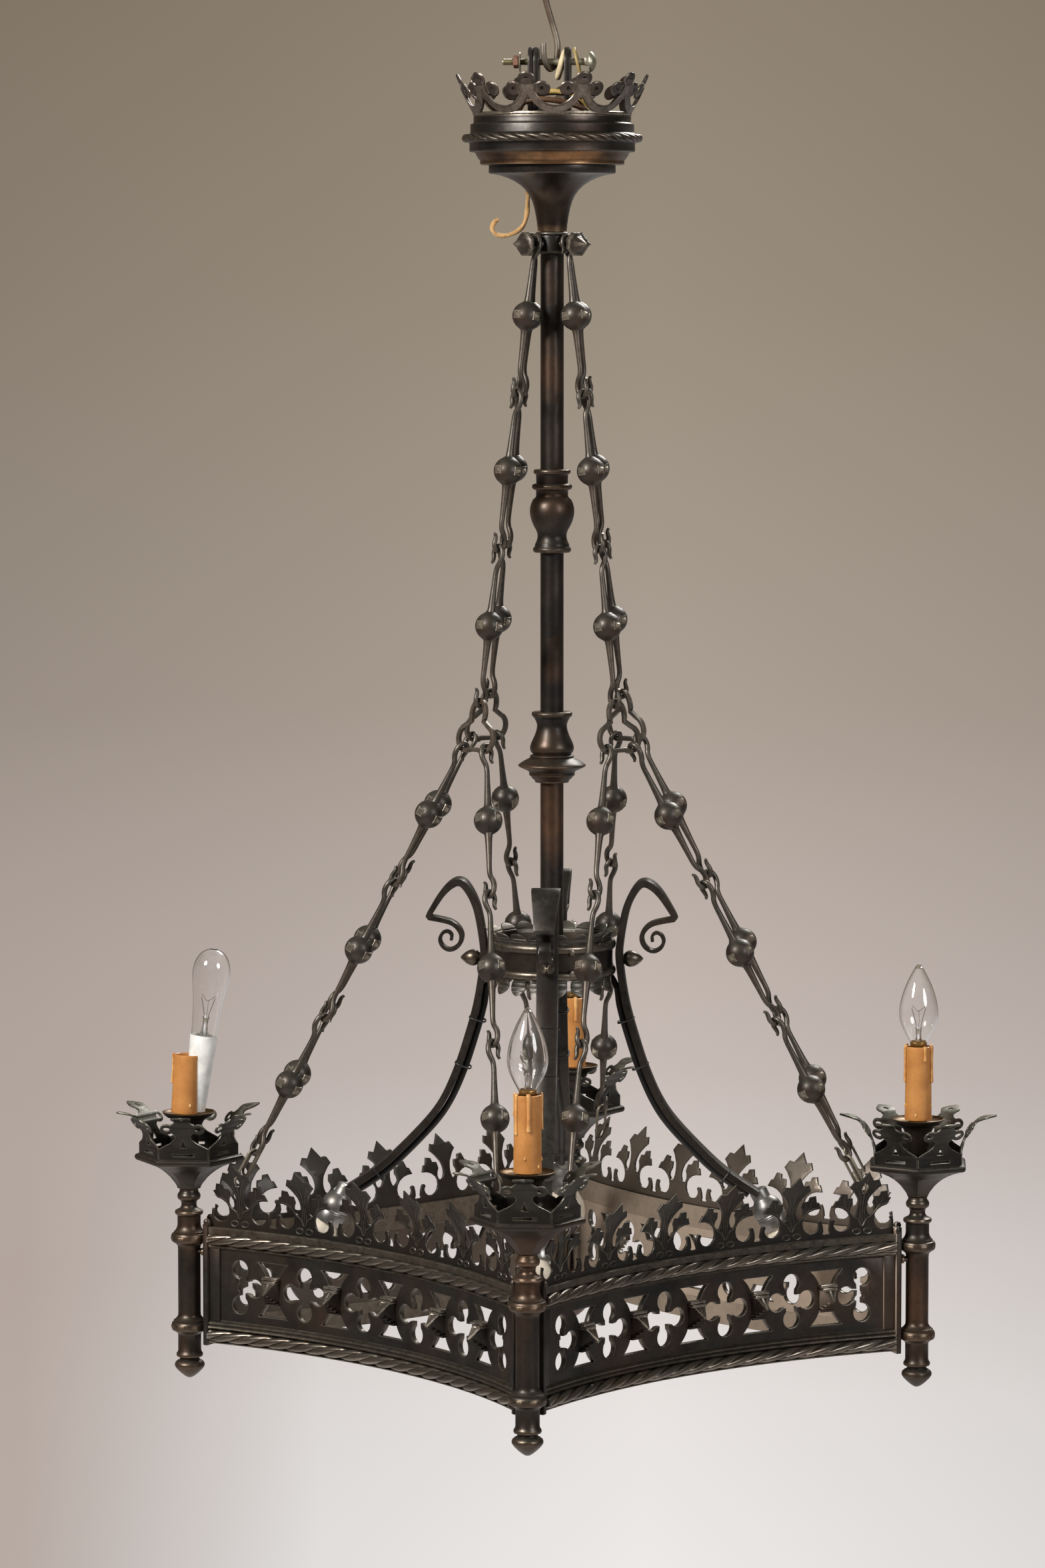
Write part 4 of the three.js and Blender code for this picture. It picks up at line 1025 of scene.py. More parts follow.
for name in CORNERS:
    spin = 30 if name == "right" else 0
    pan = turned(PAN_OUT + PAN_IN, 6, 0)
    shapes = [paint(pan, 0)]
    wall = reshape(fleuron(), fleuron_reach)
    for i in range(6):
        shapes.append(paint(put(wall, spin=i * 60), 1))
    middle = [paint(turned(BOBECHE[:9], 40), 0), paint(turned(BOBECHE[8:], 40), 3)]
    middle.append(paint(turned([(0, -1121), (3.4, -1121), (3.4, SLEEVE_Z + 40), (0, SLEEVE_Z + 40)], 14), 0))
    shapes = [put(s, spin=spin) for s in shapes] + middle
    shapes = [put(s, corner_place(name)) for s in shapes]
    piece("drip_pan_gallery_" + name, shapes, [pan_iron, *fleuron_plates, brass], "fixture",
          ["drip_pan_" + name], angle=30)
print("drip pans with", 6, "fleurons each")

# %% [markdown]
# ## Candles
#
# The candle sleeves are ochre card with wax drips. Each has a thick lip where the wax ran over the
# top, long drips with round ends, and a few drops near the foot. The bulbs are clear glass shells
# of one wall, with a stem, support wires and a filament inside and a brass cap below. At the left
# corner the sleeve is shorter, and a white tube with a pear-shaped bulb leans out behind it.

# %% Wax and glass finishes


def wax_finish(name, light, dark):
    n = Nodes(name)
    place = n.add("ShaderNodeTexCoord").outputs["Object"]
    tone = n.mix(n.ramp(n.noise(place, 60, 5, 0.6), 0.35, 0.7), light, dark)
    tone = n.mix(n.ramp(n.noise(place, 420, 4, 0.6), 0.52, 0.72, 0, 0.35), tone, colour(148, 98, 46))
    n.link(tone, n.shader.inputs["Base Color"])
    n.keep(Roughness=0.4, Subsurface_Weight=0.12, Subsurface_Scale=0.004)
    n.relief(n.noise(place, 260, 4, 0.6), 0.15, 0.0005)
    return n.material


sleeve_wax = wax_finish("ochre_sleeve", colour(188, 130, 70), colour(162, 106, 52))
drip_wax = wax_finish("wax_drip", colour(220, 172, 108), colour(176, 112, 54))
plain = Nodes("bulb_glass")
plain.keep(Base_Color=(1, 1, 1, 1), Roughness=0.02, Transmission_Weight=1, IOR=1.45)
bulb_glass = plain.material
filament = iron("filament_wire", (60, 54, 50), (110, 102, 96), (170, 160, 150), (100, 70, 60),
                edge=0.3, rough=0.35, metal=0.9)


def glazed(name, colour_value, rough):
    n = Nodes(name)
    place = n.add("ShaderNodeTexCoord").outputs["Object"]
    darker = tuple(v * 0.72 for v in colour_value[:3]) + (1,)
    n.link(n.mix(n.ramp(n.noise(place, 90, 4, 0.6), 0.4, 0.7), colour_value, darker), n.shader.inputs["Base Color"])
    n.keep(Roughness=rough)
    return n.material


porcelain = glazed("white_holder", colour(222, 222, 218), 0.35)
print("wax and glass ready")

# %% Candle sleeves
SLEEVE_LENGTH = 66.0
SLEEVE_R = 12.0
SLEEVE_BORE_R = 10.2


def wax_sleeve(seed, length=SLEEVE_LENGTH, drips=5):
    """A tube with a rounded wax lip, drips down from it and a few drops at its foot."""
    chance = random.Random(seed)
    profile = [(SLEEVE_BORE_R, 0), (SLEEVE_R - 0.1, 0), (SLEEVE_R + 0.15, 0.8), (SLEEVE_R, 3), (11.7, length * 0.5),
               (11.6, length - 4), (12, length - 1.4), (11.8, length - 0.3), (11, length + 0.1),
               (SLEEVE_BORE_R, length - 0.5)]
    shapes = [turned(profile, 40, ring=True)]
    for i in range(drips):
        turn = (i * 360 / drips + chance.uniform(-22, 22)) * DEG
        fall = chance.uniform(12, 34)
        thick = chance.uniform(1.6, 2.4)
        line = [(11.3, 0.2), (12.0, -1.4), (12.1, -fall * 0.5), (12.2, -fall + 1), (12.1, -fall - 0.5)]
        path = [(r * math.cos(turn), r * math.sin(turn), length + z) for r, z in line]
        sizes = np.interp(np.linspace(0, 1, 25), [0, 0.2, 0.55, 0.9, 1], [1.3, 1.0, 0.75, 1.05, 0.35])
        shapes.append(paint(swept(flow(path, 6), disc(thick, 10, 0.8), sizes, up=(0.31, 0.95, 0.05)), 1))
    for i in range(4):
        turn = chance.uniform(0, 2 * math.pi)
        z = chance.uniform(2, 14)
        drop = [(0, -1.5), (0.9, -1.2), (1.25, -0.2), (0.9, 0.9), (0.4, 2), (0, 2.6)]
        shapes.append(paint(put(turned(drop, 10), (11.8 * math.cos(turn), 11.8 * math.sin(turn), z)), 1))
    return shapes


def tilted(shapes, name, degrees=0, toward=0):
    """Leans shapes made about the pan's axis by some degrees toward a heading, and puts them in place."""
    place = np.array(corner_place(name)) + np.array((0, 0, SLEEVE_Z))
    return [put(put(s, tilt=lean_turn(degrees, toward)), place) for s in shapes]


# %% Bulbs
CANDLE_BULB = [
    (6.2, -3), (6.5, 0), (7.6, 3), (10.2, 8), (13.4, 14), (16, 20), (17.4, 27), (17.2, 34), (15.8, 42), (13.4, 50),
    (10.4, 57.5), (7.2, 64), (4.4, 69.2), (2.2, 72.6), (0.8, 73.8), (0, 74),
]
PEAR_BULB = [
    (11.6, -2), (11.8, 4), (12.2, 12), (12.8, 22), (13.8, 32), (15.2, 42), (16.6, 50), (17, 57), (16.2, 64),
    (14, 70), (10.6, 74.6), (6.4, 77.4), (2.4, 78.6), (0, 78.8),
]


def bulb_shapes(profile, base=True, lift=0.0):
    """A glass shell of one wall with its stem, wires and filament, and a brass cap under it."""
    outer = turned([(r, z) for r, z in flow(profile, 3)], 48)
    inner = turned([(max(r - 0.7, 0), z - (0.7 if r < 3 else 0)) for r, z in flow(profile, 3)], 48)
    shell = (np.concatenate([outer[0], inner[0]]), outer[1] + [tuple(i + len(outer[0]) for i in reversed(f))
                                                               for f in inner[1]], )
    rim = 48
    faces = shell[1] + [(k, (k + 1) % rim, len(outer[0]) + (k + 1) % rim, len(outer[0]) + k) for k in range(rim)]
    shapes = [(shell[0], faces)]
    stem = turned([(0, -4), (4.8, -4), (4.6, 0), (3, 4), (2.4, 10), (2.6, 15), (3.2, 16.4), (2, 18), (0, 18.4)], 20)
    shapes.append(paint(stem, 0))
    for hand in (-1, 1):
        support = [(hand * 1.2, 0, -2), (hand * 1.4, 0, 14), (hand * 3.4, 0, 24), (hand * 6.2, 0.4, 34)]
        shapes.append(paint(wire(support, 0.28, 6, 4), 1))
    loop = [(x, 1.6 * math.sin(x * 0.9), 34 - 2.4 * math.cos(x * 0.42)) for x in np.linspace(-6.2, 6.2, 15)]
    shapes.append(paint(wire(loop, 0.22, 5, 3), 1))
    shapes.append(paint(wire([(0, 0, 16), (0.4, 0.2, 24), (0.2, 0, 32)], 0.2, 5, 4), 1))
    if base:
        thread = [(0, -25), (3, -25), (3.4, -23), (6.2, -21)]
        for z in np.arange(-20, -1, 2.2):
            thread += [(6.2, z), (6.75, z + 0.7), (6.2, z + 1.4)]
        thread += [(7, 0), (7.4, 1.2), (7.4, 4.2), (6.6, 5), (0, 5)]
        shapes.append(paint(turned(thread, 28), 2))
    return [put(s, (0, 0, lift)) for s in shapes]


for i, name in enumerate(CORNERS):
    if name == "left":
        sleeve = tilted(wax_sleeve(i, 53, drips=2), name, 3, 8)
        leaning = tilted([put(paint(turned([(5.6, 2), (9, 2), (9.2, 6), (12.6, 70), (12.4, 71), (8, 71), (8, 40),
                                            (5.6, 40)], 36, ring=True), 3), (5.4, 3, 0))]
                         + [put(s, (5.4, 3, 0)) for s in bulb_shapes(PEAR_BULB, base=False, lift=71)], name, 7, 0)
        piece("candle_bulb_" + name, leaning, [bulb_glass, filament, brass, porcelain], "bulb_" + name,
              ["bulb_" + name])
        sleeve = [put(s, (-3.4, -3, 0)) for s in sleeve]
    else:
        sleeve = tilted(wax_sleeve(i), name)
        shapes = tilted(bulb_shapes(CANDLE_BULB, lift=SLEEVE_LENGTH), name)
        piece("candle_bulb_" + name, shapes, [bulb_glass, filament, brass], "bulb_" + name,
              ["bulb_" + name])
    piece("candle_sleeve_wax_" + name, sleeve, [sleeve_wax, drip_wax], "sleeve_" + name,
          ["candle_sleeve_" + name])
print("candles:", len(CORNERS))

# %% [markdown]
# ## Stem and knops
#
# The stem is a plain tube. Two turned knops slide on it, and a collar near its top carries four
# faceted studs, from whose necks the chains hang.

# %% Stem, knops and collar
STEM_R = 10.35
UPPER_KNOP = [
    (15.4, 0), (16.3, 0.6), (16.5, 2), (16.3, 3.4), (15.2, 4.1), (14.4, 4.6), (14.2, 6), (14.1, 12.4), (16.8, 13.1),
    (17.8, 14.4), (17.9, 16), (17.2, 17.4), (15, 18.2), (14.3, 19), (14.2, 23.6), (15, 25), (17, 26.8), (18.6, 30),
    (19.6, 34), (19.8, 38), (19.3, 42), (18, 46.4), (16.2, 50.4), (14.2, 54), (13.1, 57), (12.9, 60), (13.6, 63),
    (14.8, 65.6), (15.3, 66.8), (15.2, 68.2), (16.4, 69.4), (17, 70.8), (16.8, 72.6), (15.6, 73.8),
]
LOWER_KNOP = [
    (17.2, 0), (18, 0.7), (18.2, 2.2), (17.6, 4), (16.2, 5), (15.6, 6), (14.5, 8), (13.6, 10.4), (13.3, 12.6),
    (13.8, 16), (15.2, 20.4), (17.1, 24.6), (18.8, 28.4), (19.6, 31.6), (19.4, 34.4), (18.3, 36.4), (17.3, 37.4),
    (17.3, 38.2), (19.3, 38.9), (19.8, 39.8), (19.3, 40.7), (20.6, 41.6), (24, 43.3), (27.8, 45.6), (29.9, 47.2),
    (30.2, 48), (29.8, 48.8), (27, 50.3), (23, 52), (20.8, 53.2), (20.3, 54.6), (20.5, 56), (19.8, 57.2), (18.5, 58),
    (18, 59), (16.8, 60.2), (15.4, 61.2), (15, 63),
]
for name, top, profile in (("upper_knop", -475.5, UPPER_KNOP), ("lower_knop", -691.4, LOWER_KNOP)):
    rows = [(STEM_R + 0.2, 0)] + profile + [(STEM_R + 0.2, profile[-1][1])]
    piece(name + "_turned", [put(turned([(r, -drop) for r, drop in rows], 64, ring=True), (0, 0, top))], [copper],
          "fixture", [name], angle=50)
tube = turned([(8, -204.3), (STEM_R, -204.3), *[(STEM_R, z) for z in np.linspace(-220, -900, 40)], (STEM_R, -925),
               (8, -925)], 48, ring=True)
piece("stem_tube_iron", [tube], [copper], "fixture", ["stem_tube"])

COLLAR_TOP_Z = -265.6
STUD_Z = -276.2
COLLAR = [
    (STEM_R + 0.2, 0), (13.8, 0), (14.4, -0.6), (14.6, -1.6), (14.2, -2.6), (13.2, -3.2), (13.4, -4), (13.6, -5),
    (13.5, -16), (13.9, -17), (13.6, -18.2), (12.4, -19), (11.4, -19.4), (STEM_R + 0.2, -19.4),
]


def stud_on_collar():
    """A round neck, then a flange and an eight-sided pointed head with hollowed facets, along X."""
    neck = turned([(0, 12.4), (3.6, 12.4), (3.0, 14.4), (2.8, 20), (3.0, 25.6), (3.6, 27), (5.4, 28.6), (5.6, 29.6),
                   (0, 29.6)], 20)
    head = turned([(0, 29.2), (8.6, 29.2), (10.6, 30.4), (10.8, 32.2), (10.2, 33.4), (8.2, 34.4), (6.4, 36.6),
                   (4.2, 39.6), (2.2, 42.8), (0, 46.4)], 8, 22.5 * DEG)
    ridge = turned([(10.4, 29.8), (11.2, 30.6), (11.2, 32), (10.4, 32.8)], 8, 22.5 * DEG, ring=True)
    return [put(s, tilt=SIDEWAYS) for s in (neck, head, ridge)]


shapes = [put(turned(COLLAR, 56, ring=True), (0, 0, COLLAR_TOP_Z))]
for angle, ends in SIDES.values():
    shapes += [put(s, (0, 0, STUD_Z), angle) for s in stud_on_collar()]
piece("chain_collar_studs", shapes, [cast], "fixture", ["chain_collar"], angle=30)
print("stem, knops and collar made")

# %% [markdown]
# ## Crown band
#
# A drum with a half-round bead above and below, a ring of round leaves that stand up and lean
# out, and a ring of drop leaves that hang down. The leaves carry dust and painted light from above.

# %% Crown band
CROWN_Z = -911.0
CROWN_PETALS = 18
BAND = [
    (51.5, 16), (53.6, 16.2), (55.6, 15.6), (57, 14), (57.4, 12), (57, 9.8), (55.8, 8.2), (54.5, 7.4), (54.4, 0),
    (54.5, -7.6), (55.8, -8.4), (57, -10), (57.3, -12), (56.8, -14), (55.4, -15.6), (53.6, -16.1), (51.5, -16),
    (51.5, -2), (STEM_R + 0.2, -2), (STEM_R + 0.2, 1), (51.5, 1),
]


def petal(up):
    rows = bow(0, 3, 9.4, 0, 90, 9, rz=9.6) if up else [(4.6, 0), (7.2, 3.6), (7.9, 7.6), (6.6, 11.6), (3.6, 14.6),
                                                        (0, 16.4)]
    half = [(0, 0), (9.4, 0), *rows] if up else [(0, 0), *rows]
    flat = fine(slab(mirror(half), [], 1.6, 0.4, far=-0.8), 2.6)
    sign = 1 if up else -1
    lean_out = 0.55 if up else 0.22

    def change(x, y, z):
        out = 53.4 + y - 0.02 * x * x + lean_out * z * z / 14
        return x, out, CROWN_Z + sign * (15 + z - 0.3 * lean_out * z * z / 14)

    return reshape(flat, change)


crown = [put(turned(BAND, 96, ring=True), (0, 0, CROWN_Z))]
for i in range(CROWN_PETALS):
    spin = (i + 0.5) * 360 / CROWN_PETALS
    crown += [paint(put(petal(True), spin=spin), 1), paint(put(petal(False), spin=spin), 1)]
for angle in CORNERS.values():
    for z in (-9.5, 9.5):
        head = turned([(3.2, 0), (3.2, 1.2), (2.4, 2.4), (0, 2.8)], 14)
        head = put(head, tilt=SIDEWAYS)
        crown.append(put(put(head, (55, 0, z + CROWN_Z)), spin=angle + 22))
# The leaves' pale tone and dust share are dust and painted light from above on their upward faces.
DUSTY_AND_LIT = ((44, 41, 38), (96, 92, 84), (164, 156, 140), (96, 82, 62))
dusty_lit_leaves = [iron("crown_leaf", *DUSTY_AND_LIT, edge=0.4, rim=0.0, dust_and_top_light=0.6),
         iron("crown_leaf_edge", *DUSTY_AND_LIT, edge=0.5, rim=0.6, dust_and_top_light=0.6)]
piece("crown_band_leaves", crown, [rubbed, *dusty_lit_leaves], "fixture", ["crown_band"], angle=35)
print("crown leaves:", 2 * CROWN_PETALS)

# %% [markdown]
# ## Scroll arms
#
# Each arm is one flat strap. It starts in a curl, widens into a flared plate at the top, turns
# down past the crown band where an acorn nut clamps it, and sweeps out to a lampholder inside the
# ring. A dark cable is tied to its inner face.

# %% Scroll arms
ARM_PATH = [
    (90.2, -897, 4.8, 2.6), (89.9, -892, 4.9, 2.7), (93.4, -889, 5, 2.8), (98, -890.7, 5.1, 3),
    (100.3, -896.2, 5.3, 3.1), (98, -902, 5.6, 3.3), (92.5, -905.3, 6, 3.5), (86.6, -903.9, 6.4, 3.7),
    (82, -899, 6.8, 3.9),
    (80.7, -892, 7.2, 4.1), (84.2, -885.1, 7.7, 4.3), (90.6, -880.5, 8.1, 4.4), (101.6, -877.8, 8.6, 4.5),
    (111.4, -876.1, 9, 4.6), (100.8, -858.8, 10.8, 5.6), (94, -850.2, 12, 6.4), (87.8, -845.3, 12.7, 6.9),
    (83.2, -844, 12.75, 6.9), (78.6, -845.8, 12.4, 6.8), (73.2, -853, 11.4, 6.6), (68.4, -863, 10.4, 6.5),
    (65, -875, 9.8, 6.5), (61.4, -897, 9.7, 6.5), (60.8, -914, 9.7, 6.5), (66.5, -952, 9.7, 6.4),
    (76.4, -987.5, 9.7, 6.3), (85, -1013, 9.7, 6.3), (96.5, -1038.5, 9.7, 6.2), (111.5, -1060, 9.7, 6.2),
    (142.5, -1092, 9.7, 6.2), (162, -1108, 9.7, 6.2), (184.4, -1122.7, 9.7, 6.2),
]
ARM_CORNER = 13


def smooth_arm():
    """The arm's rows made finer: the curl and the sweep are each smooth, with a firm bend between."""
    curl = flow(ARM_PATH[:ARM_CORNER + 1], 5)
    sweep = flow(ARM_PATH[ARM_CORNER:], 5)
    rows = list(curl[:-1]) + [curl[-1]] + list(sweep[1:])
    soft = [rows[0]]
    for before, here, after in zip(rows, rows[1:], rows[2:]):
        soft.append(0.2 * before + 0.6 * here + 0.2 * after)
    return soft + [rows[-1]]


def strap(path, section, sizes):
    """A flat bar in the XZ plane: the section's first axis is its thickness, the second its width along Y."""
    points = []
    for i, (place, size) in enumerate(zip(path, sizes)):
        before, after = path[max(i - 1, 0)], path[min(i + 1, len(path) - 1)]
        run = np.array(after, float) - np.array(before, float)
        run /= np.linalg.norm(run)
        off = np.array((-run[2], 0, run[0]))
        points += [np.array(place) + off * u * size[0] + np.array((0, 1, 0)) * v * size[1] for u, v in section]
    sides = len(section)
    faces = []
    for i in range(len(path) - 1):
        for k in range(sides):
            after = (k + 1) % sides
            faces.append((i * sides + k, i * sides + after, (i + 1) * sides + after, (i + 1) * sides + k))
    faces.append(tuple(range(sides)))
    faces.append(tuple(range((len(path) - 1) * sides, len(path) * sides)))
    return np.array(points), faces


def arm_strap():
    rows = smooth_arm()
    section = [(1, 0.9), (0.86, 1), (-0.86, 1), (-1, 0.9), (-1, -0.9), (-0.86, -1), (0.86, -1), (1, -0.9)]
    return strap([(r, 0, z) for r, z, half, thick in rows], section,
                 [(thick / 2, half) for r, z, half, thick in rows])


def arm_cable():
    """The cable along the arm's inner face, and its ties."""
    low = [row for row in smooth_arm() if row[1] < -925]
    line = []
    for before, here, after in zip(low, low[1:], low[2:]):
        run = np.array([after[0] - before[0], after[1] - before[1]])
        run /= np.linalg.norm(run)
        line.append((here[0] + run[1] * 6.2, 1.5 * math.sin(here[1] * 0.06), here[1] - run[0] * 6.2))
    line = [(46, 6, -919), (50, 3, -926)] + line
    shapes = [paint(wire(line[::2], 2.9, 10, 4), 1)]
    for i in (6, 13, len(line) - 6):
        x, y, z = line[i]
        ahead = line[i + 1]
        heading = math.atan2(ahead[2] - z, ahead[0] - x)
        turn = Matrix.Rotation(-heading - 90 * DEG, 4, "Y")
        ring = np.array([(7.2 * math.copysign(abs(math.cos(a * DEG)) ** 0.5, math.cos(a * DEG)),
                          10.6 * math.copysign(abs(math.sin(a * DEG)) ** 0.5, math.sin(a * DEG)), 0)
                         for a in range(0, 360, 15)])
        ring = ring @ np.array(turn.to_3x3()).T
        centre = np.array((x, 0, z)) + np.array((math.sin(heading), 0, -math.cos(heading))) * -2.4
        shapes.append(paint(wire([tuple(p + centre) for p in ring], 0.9, 6, 2, loop=True), 1))
    return shapes


HOLDER_PLACE = (190, 0, -1130)


def inner_holder():
    """The lampholder at the arm's end: a dome, a grooved skirt and a pale lamp that is turned down."""
    dome = turned([(0, 12.5), (5.6, 12.3), (7.8, 11), (8.2, 9), (8, 3), (9, 1.4), (11.6, -1.6), (13.1, -5),
                   (13.6, -8), (13.4, -12), (12.9, -13), (13.4, -14), (12.8, -15), (13.3, -16), (12.7, -25),
                   (12, -26.3), (0, -26.3)], 36)
    shade = turned([(9.4, -26), (10.6, -29), (13.8, -36), (17, -44), (18, -52), (17.2, -59), (14, -65), (8, -69),
                    (0, -70.4)], 36)
    tilt = Matrix.Rotation(-28 * DEG, 4, "Y")
    return [put(paint(shape, number), HOLDER_PLACE, tilt=tilt) for shape, number in ((dome, 2), (shade, 3))]


black = glazed("black_cable", colour(26, 24, 23), 0.5)
grey_metal = iron("grey_metal", (84, 82, 80), (150, 148, 144), (196, 194, 188), (140, 128, 112),
                  edge=0.4, rough=0.35, metal=0.8)
milky = Nodes("milky_glass")
milky.keep(Base_Color=colour(236, 226, 208), Roughness=0.25, Transmission_Weight=0.35, IOR=1.4)
NUT = [(0, 64.4), (4.4, 64.4), (4.8, 65.2), (6.2, 66.6), (7.2, 68.6), (7.5, 70.6), (7, 73.4), (5.4, 76.6),
       (3.2, 79.4), (1.2, 81.4), (0, 82)]
for name, turn in CORNERS.items():
    shapes = [arm_strap(), *arm_cable(), *inner_holder()]
    piece("scroll_arm_strap_" + name, [put(s, spin=turn) for s in shapes],
          [black_iron, black, grey_metal, milky.material], "fixture", ["scroll_arm_" + name], angle=40)
    nut = put(turned(NUT, 28), tilt=SIDEWAYS)
    piece("acorn_nut_turned_" + name, [put(put(nut, (0, 0, CROWN_Z - 1.5)), spin=turn)], [rubbed], "fixture",
          ["acorn_nut_" + name], angle=50)
print("arms:", len(smooth_arm()), "rows each")

# %% [markdown]
# ## Chains
#
# Every link is a rod with an open hook at each end, drawn out at the tips, and a ball in its
# middle with four small pyramids round it. All links share one mesh. The trefoil links are a
# square bar bent into three lobes. Chains hang on lines between their two ends, and each link is
# placed on its line with its hook turned the same way as the link's own solid.

# %% One link
LINK_HALF = 64.7
LINK_STEP = 138.0
BALL_R = 12.6


def hook_wire(sign, plane):
    c = LINK_HALF
    rows = [(0, 11, 4.4), (0, 13.5, 3.7), (0, 18, 3.2), (0, 28, 2.75), (0, 38, 2.4), (0.1, 47, 2.25),
            (1.3, 52.4, 2.3), (3.9, 56.4, 2.4), (5.6, 60.6, 2.4), (5.7, 65.2, 2.35), (4, 69.4, 2.3),
            (0, 71.2, 2.3), (-3.9, 69.3, 2.2),
            (-5.5, 65.2, 2.1), (-5, 61, 1.9), (-5.2, 58.2, 1.6), (-6.9, 56, 1.2)]
    smooth = flow(rows, 4)
    path = [(u, 0, sign * z) if plane == "x" else (0, u, sign * z) for u, z, r in smooth]
    return swept(path, disc(1, 12), [r for u, z, r in smooth], up=(0.31, 0.95, 0.05))


def link_mesh():
    ball = turned([(0, -12.6), (4.4, -12.4), (5.4, -11.6), *[(BALL_R * math.cos(a * DEG), BALL_R * math.sin(a * DEG))
                   for a in range(-62, 63, 8)], (5.4, 11.6), (4.4, 12.4), (0, 12.6)], 36)
    shapes = [ball, hook_wire(1, "x"), hook_wire(-1, "y")]
    square = [(-1, -1), (-1, 1), (1, -1), (1, 1)]
    base = facets([(x, y * half, z * half) for x, half in ((11.0, 3.9), (12.6, 3.6)) for y, z in square])
    spike = facets([(12.2, y * 2.7, z * 2.7) for y, z in square] + [(15.6, 0, 0)])
    for turn in (5, 95, 185, 275):
        shapes += [paint(put(base, spin=turn), 1), paint(put(spike, spin=turn), 1)]
    return weld("ball_link", shapes, [link_iron, spike_iron], angle=40)


link_iron = iron("link_iron", (30, 27, 24), (64, 58, 52), (160, 150, 134), (74, 55, 42),
                 edge=0.55, rough=0.45, metal=0.7)
spike_iron = iron("spike_iron", (36, 32, 28), (84, 77, 68), (176, 166, 148), (84, 64, 48),
                  edge=0.5, rough=0.42, metal=0.72)
one_link = link_mesh()
print("one link:", len(one_link.polygons), "faces")

# %% Strands
TREFOIL_R = 84.1
TREFOIL_Z = -676.9
CHAIN_TOP_R = 20.0
LEAF_S = 2.5 * BAY_PITCH
LEAF_HOLE_Z = 41.0


def line_place(start, end, spin):
    """The matrix of a body made along -Z from the origin, on the line from start towards end."""
    down = (end - start).normalized()
    turn = Vector((0, 0, -1)).rotation_difference(down).to_matrix().to_4x4()
    return Matrix.Translation(start * MM) @ turn @ Matrix.Rotation(spin, 4, "Z")


def hang(name, start, end, spin, node):
    place = line_place(start, end, spin)
    for i in range(3):
        at = place @ Matrix.Translation((0, 0, -(LINK_HALF + i * LINK_STEP) * MM))
        show(f"link_{name}_{i + 1}", one_link, node, [node] if i == 0 else (), at)
    return place


def stadium(near, far):
    """The wire loop at the foot of a lower chain, which passes through a leaf of the cresting."""
    half = 5.2
    rows = [(half * math.cos(a * DEG), 0, -(far - half) - half * math.sin(a * DEG) * 1.0) for a in range(0, 181, 20)]
    rows += [(-half, 0, -(near + far) / 2)]
    rows += [(half * math.cos(a * DEG), 0, -(near + half) - half * math.sin(a * DEG)) for a in range(180, 361, 20)]
    rows += [(half, 0, -(near + far) / 2)]
    return wire(rows, 1.25, 10, 2, loop=True)


loop_iron = iron("loop_iron", (60, 54, 46), (138, 128, 112), (190, 180, 160), (120, 96, 68),
                 edge=0.5, rough=0.45, metal=0.7)
for side, (angle, ends) in SIDES.items():
    out = Vector((math.cos(angle * DEG), math.sin(angle * DEG), 0))
    top = out * CHAIN_TOP_R + Vector((0, 0, STUD_Z + 0.6))
    end = out * TREFOIL_R + Vector((0, 0, TREFOIL_Z))
    hang("upper_" + side, top, end, angle * DEG + math.pi / 2, "upper_chain_" + side)
    for hand, corner in zip((1, -1), ends):
        level = Vector((-out.y, out.x, 0)) * -hand
        start = out * (TREFOIL_R + 7.35) + level * 16.75 + Vector((0, 0, TREFOIL_Z - 44.9))
        hole_z = RAIL_TOP_Z + LEAF_HOLE_Z
        end = on_side(angle, hand * LEAF_S, float(lean(np.float64(hole_z))), hole_z)
        node = f"lower_chain_{side}_{corner}"
        place = hang(f"lower_{side}_{corner}", start, end, angle * DEG, node)
        near = 2 * LINK_STEP + 2 * LINK_HALF + 3
        loop = weld("wire_loop", [stadium(near, (end - start).length)], [loop_iron])
        show(f"wire_loop_{side}_{corner}", loop, node, (), place)

# %% Trefoil links


def trefoil():
    rows = bow(0, -15, 9, -25, 205, 14, rz=13)
    rows += bow(-11.5, -36, 11.5, 110, 300, 14) + bow(11.5, -36, 11.5, 240, 430, 14)
    path = flow([(x, 0, z + 2) for x, z in rows], 1, loop=True)
    section = [(2, 1.5), (1.5, 2), (-1.5, 2), (-2, 1.5), (-2, -1.5), (-1.5, -2), (1.5, -2), (2, -1.5)]
    return swept(path, section, up=(0, 1, 0), loop=True, fixed=True)


for side, (angle, ends) in SIDES.items():
    shape = put(trefoil(), tilt=Matrix.Rotation(-9.3 * DEG, 4, "X"))
    at = (TREFOIL_R * math.cos(angle * DEG), TREFOIL_R * math.sin(angle * DEG), TREFOIL_Z)
    piece("trefoil_bar_" + side, [put(shape, at, angle + 90)], [link_iron], "fixture",
          ["trefoil_link_" + side], angle=30)
print("trefoil links:", len(SIDES))

# %% [markdown]
# ## Canopy
#
# The canopy is spun from sheet: an upright band, a step, a rope bead, a second band, a dark
# cavetto with a stepped ring, and a trumpet down to the collar. The coronet stands on it: ten half
# rings open upward, and over each point where they meet a flower of three round dimpled lobes.

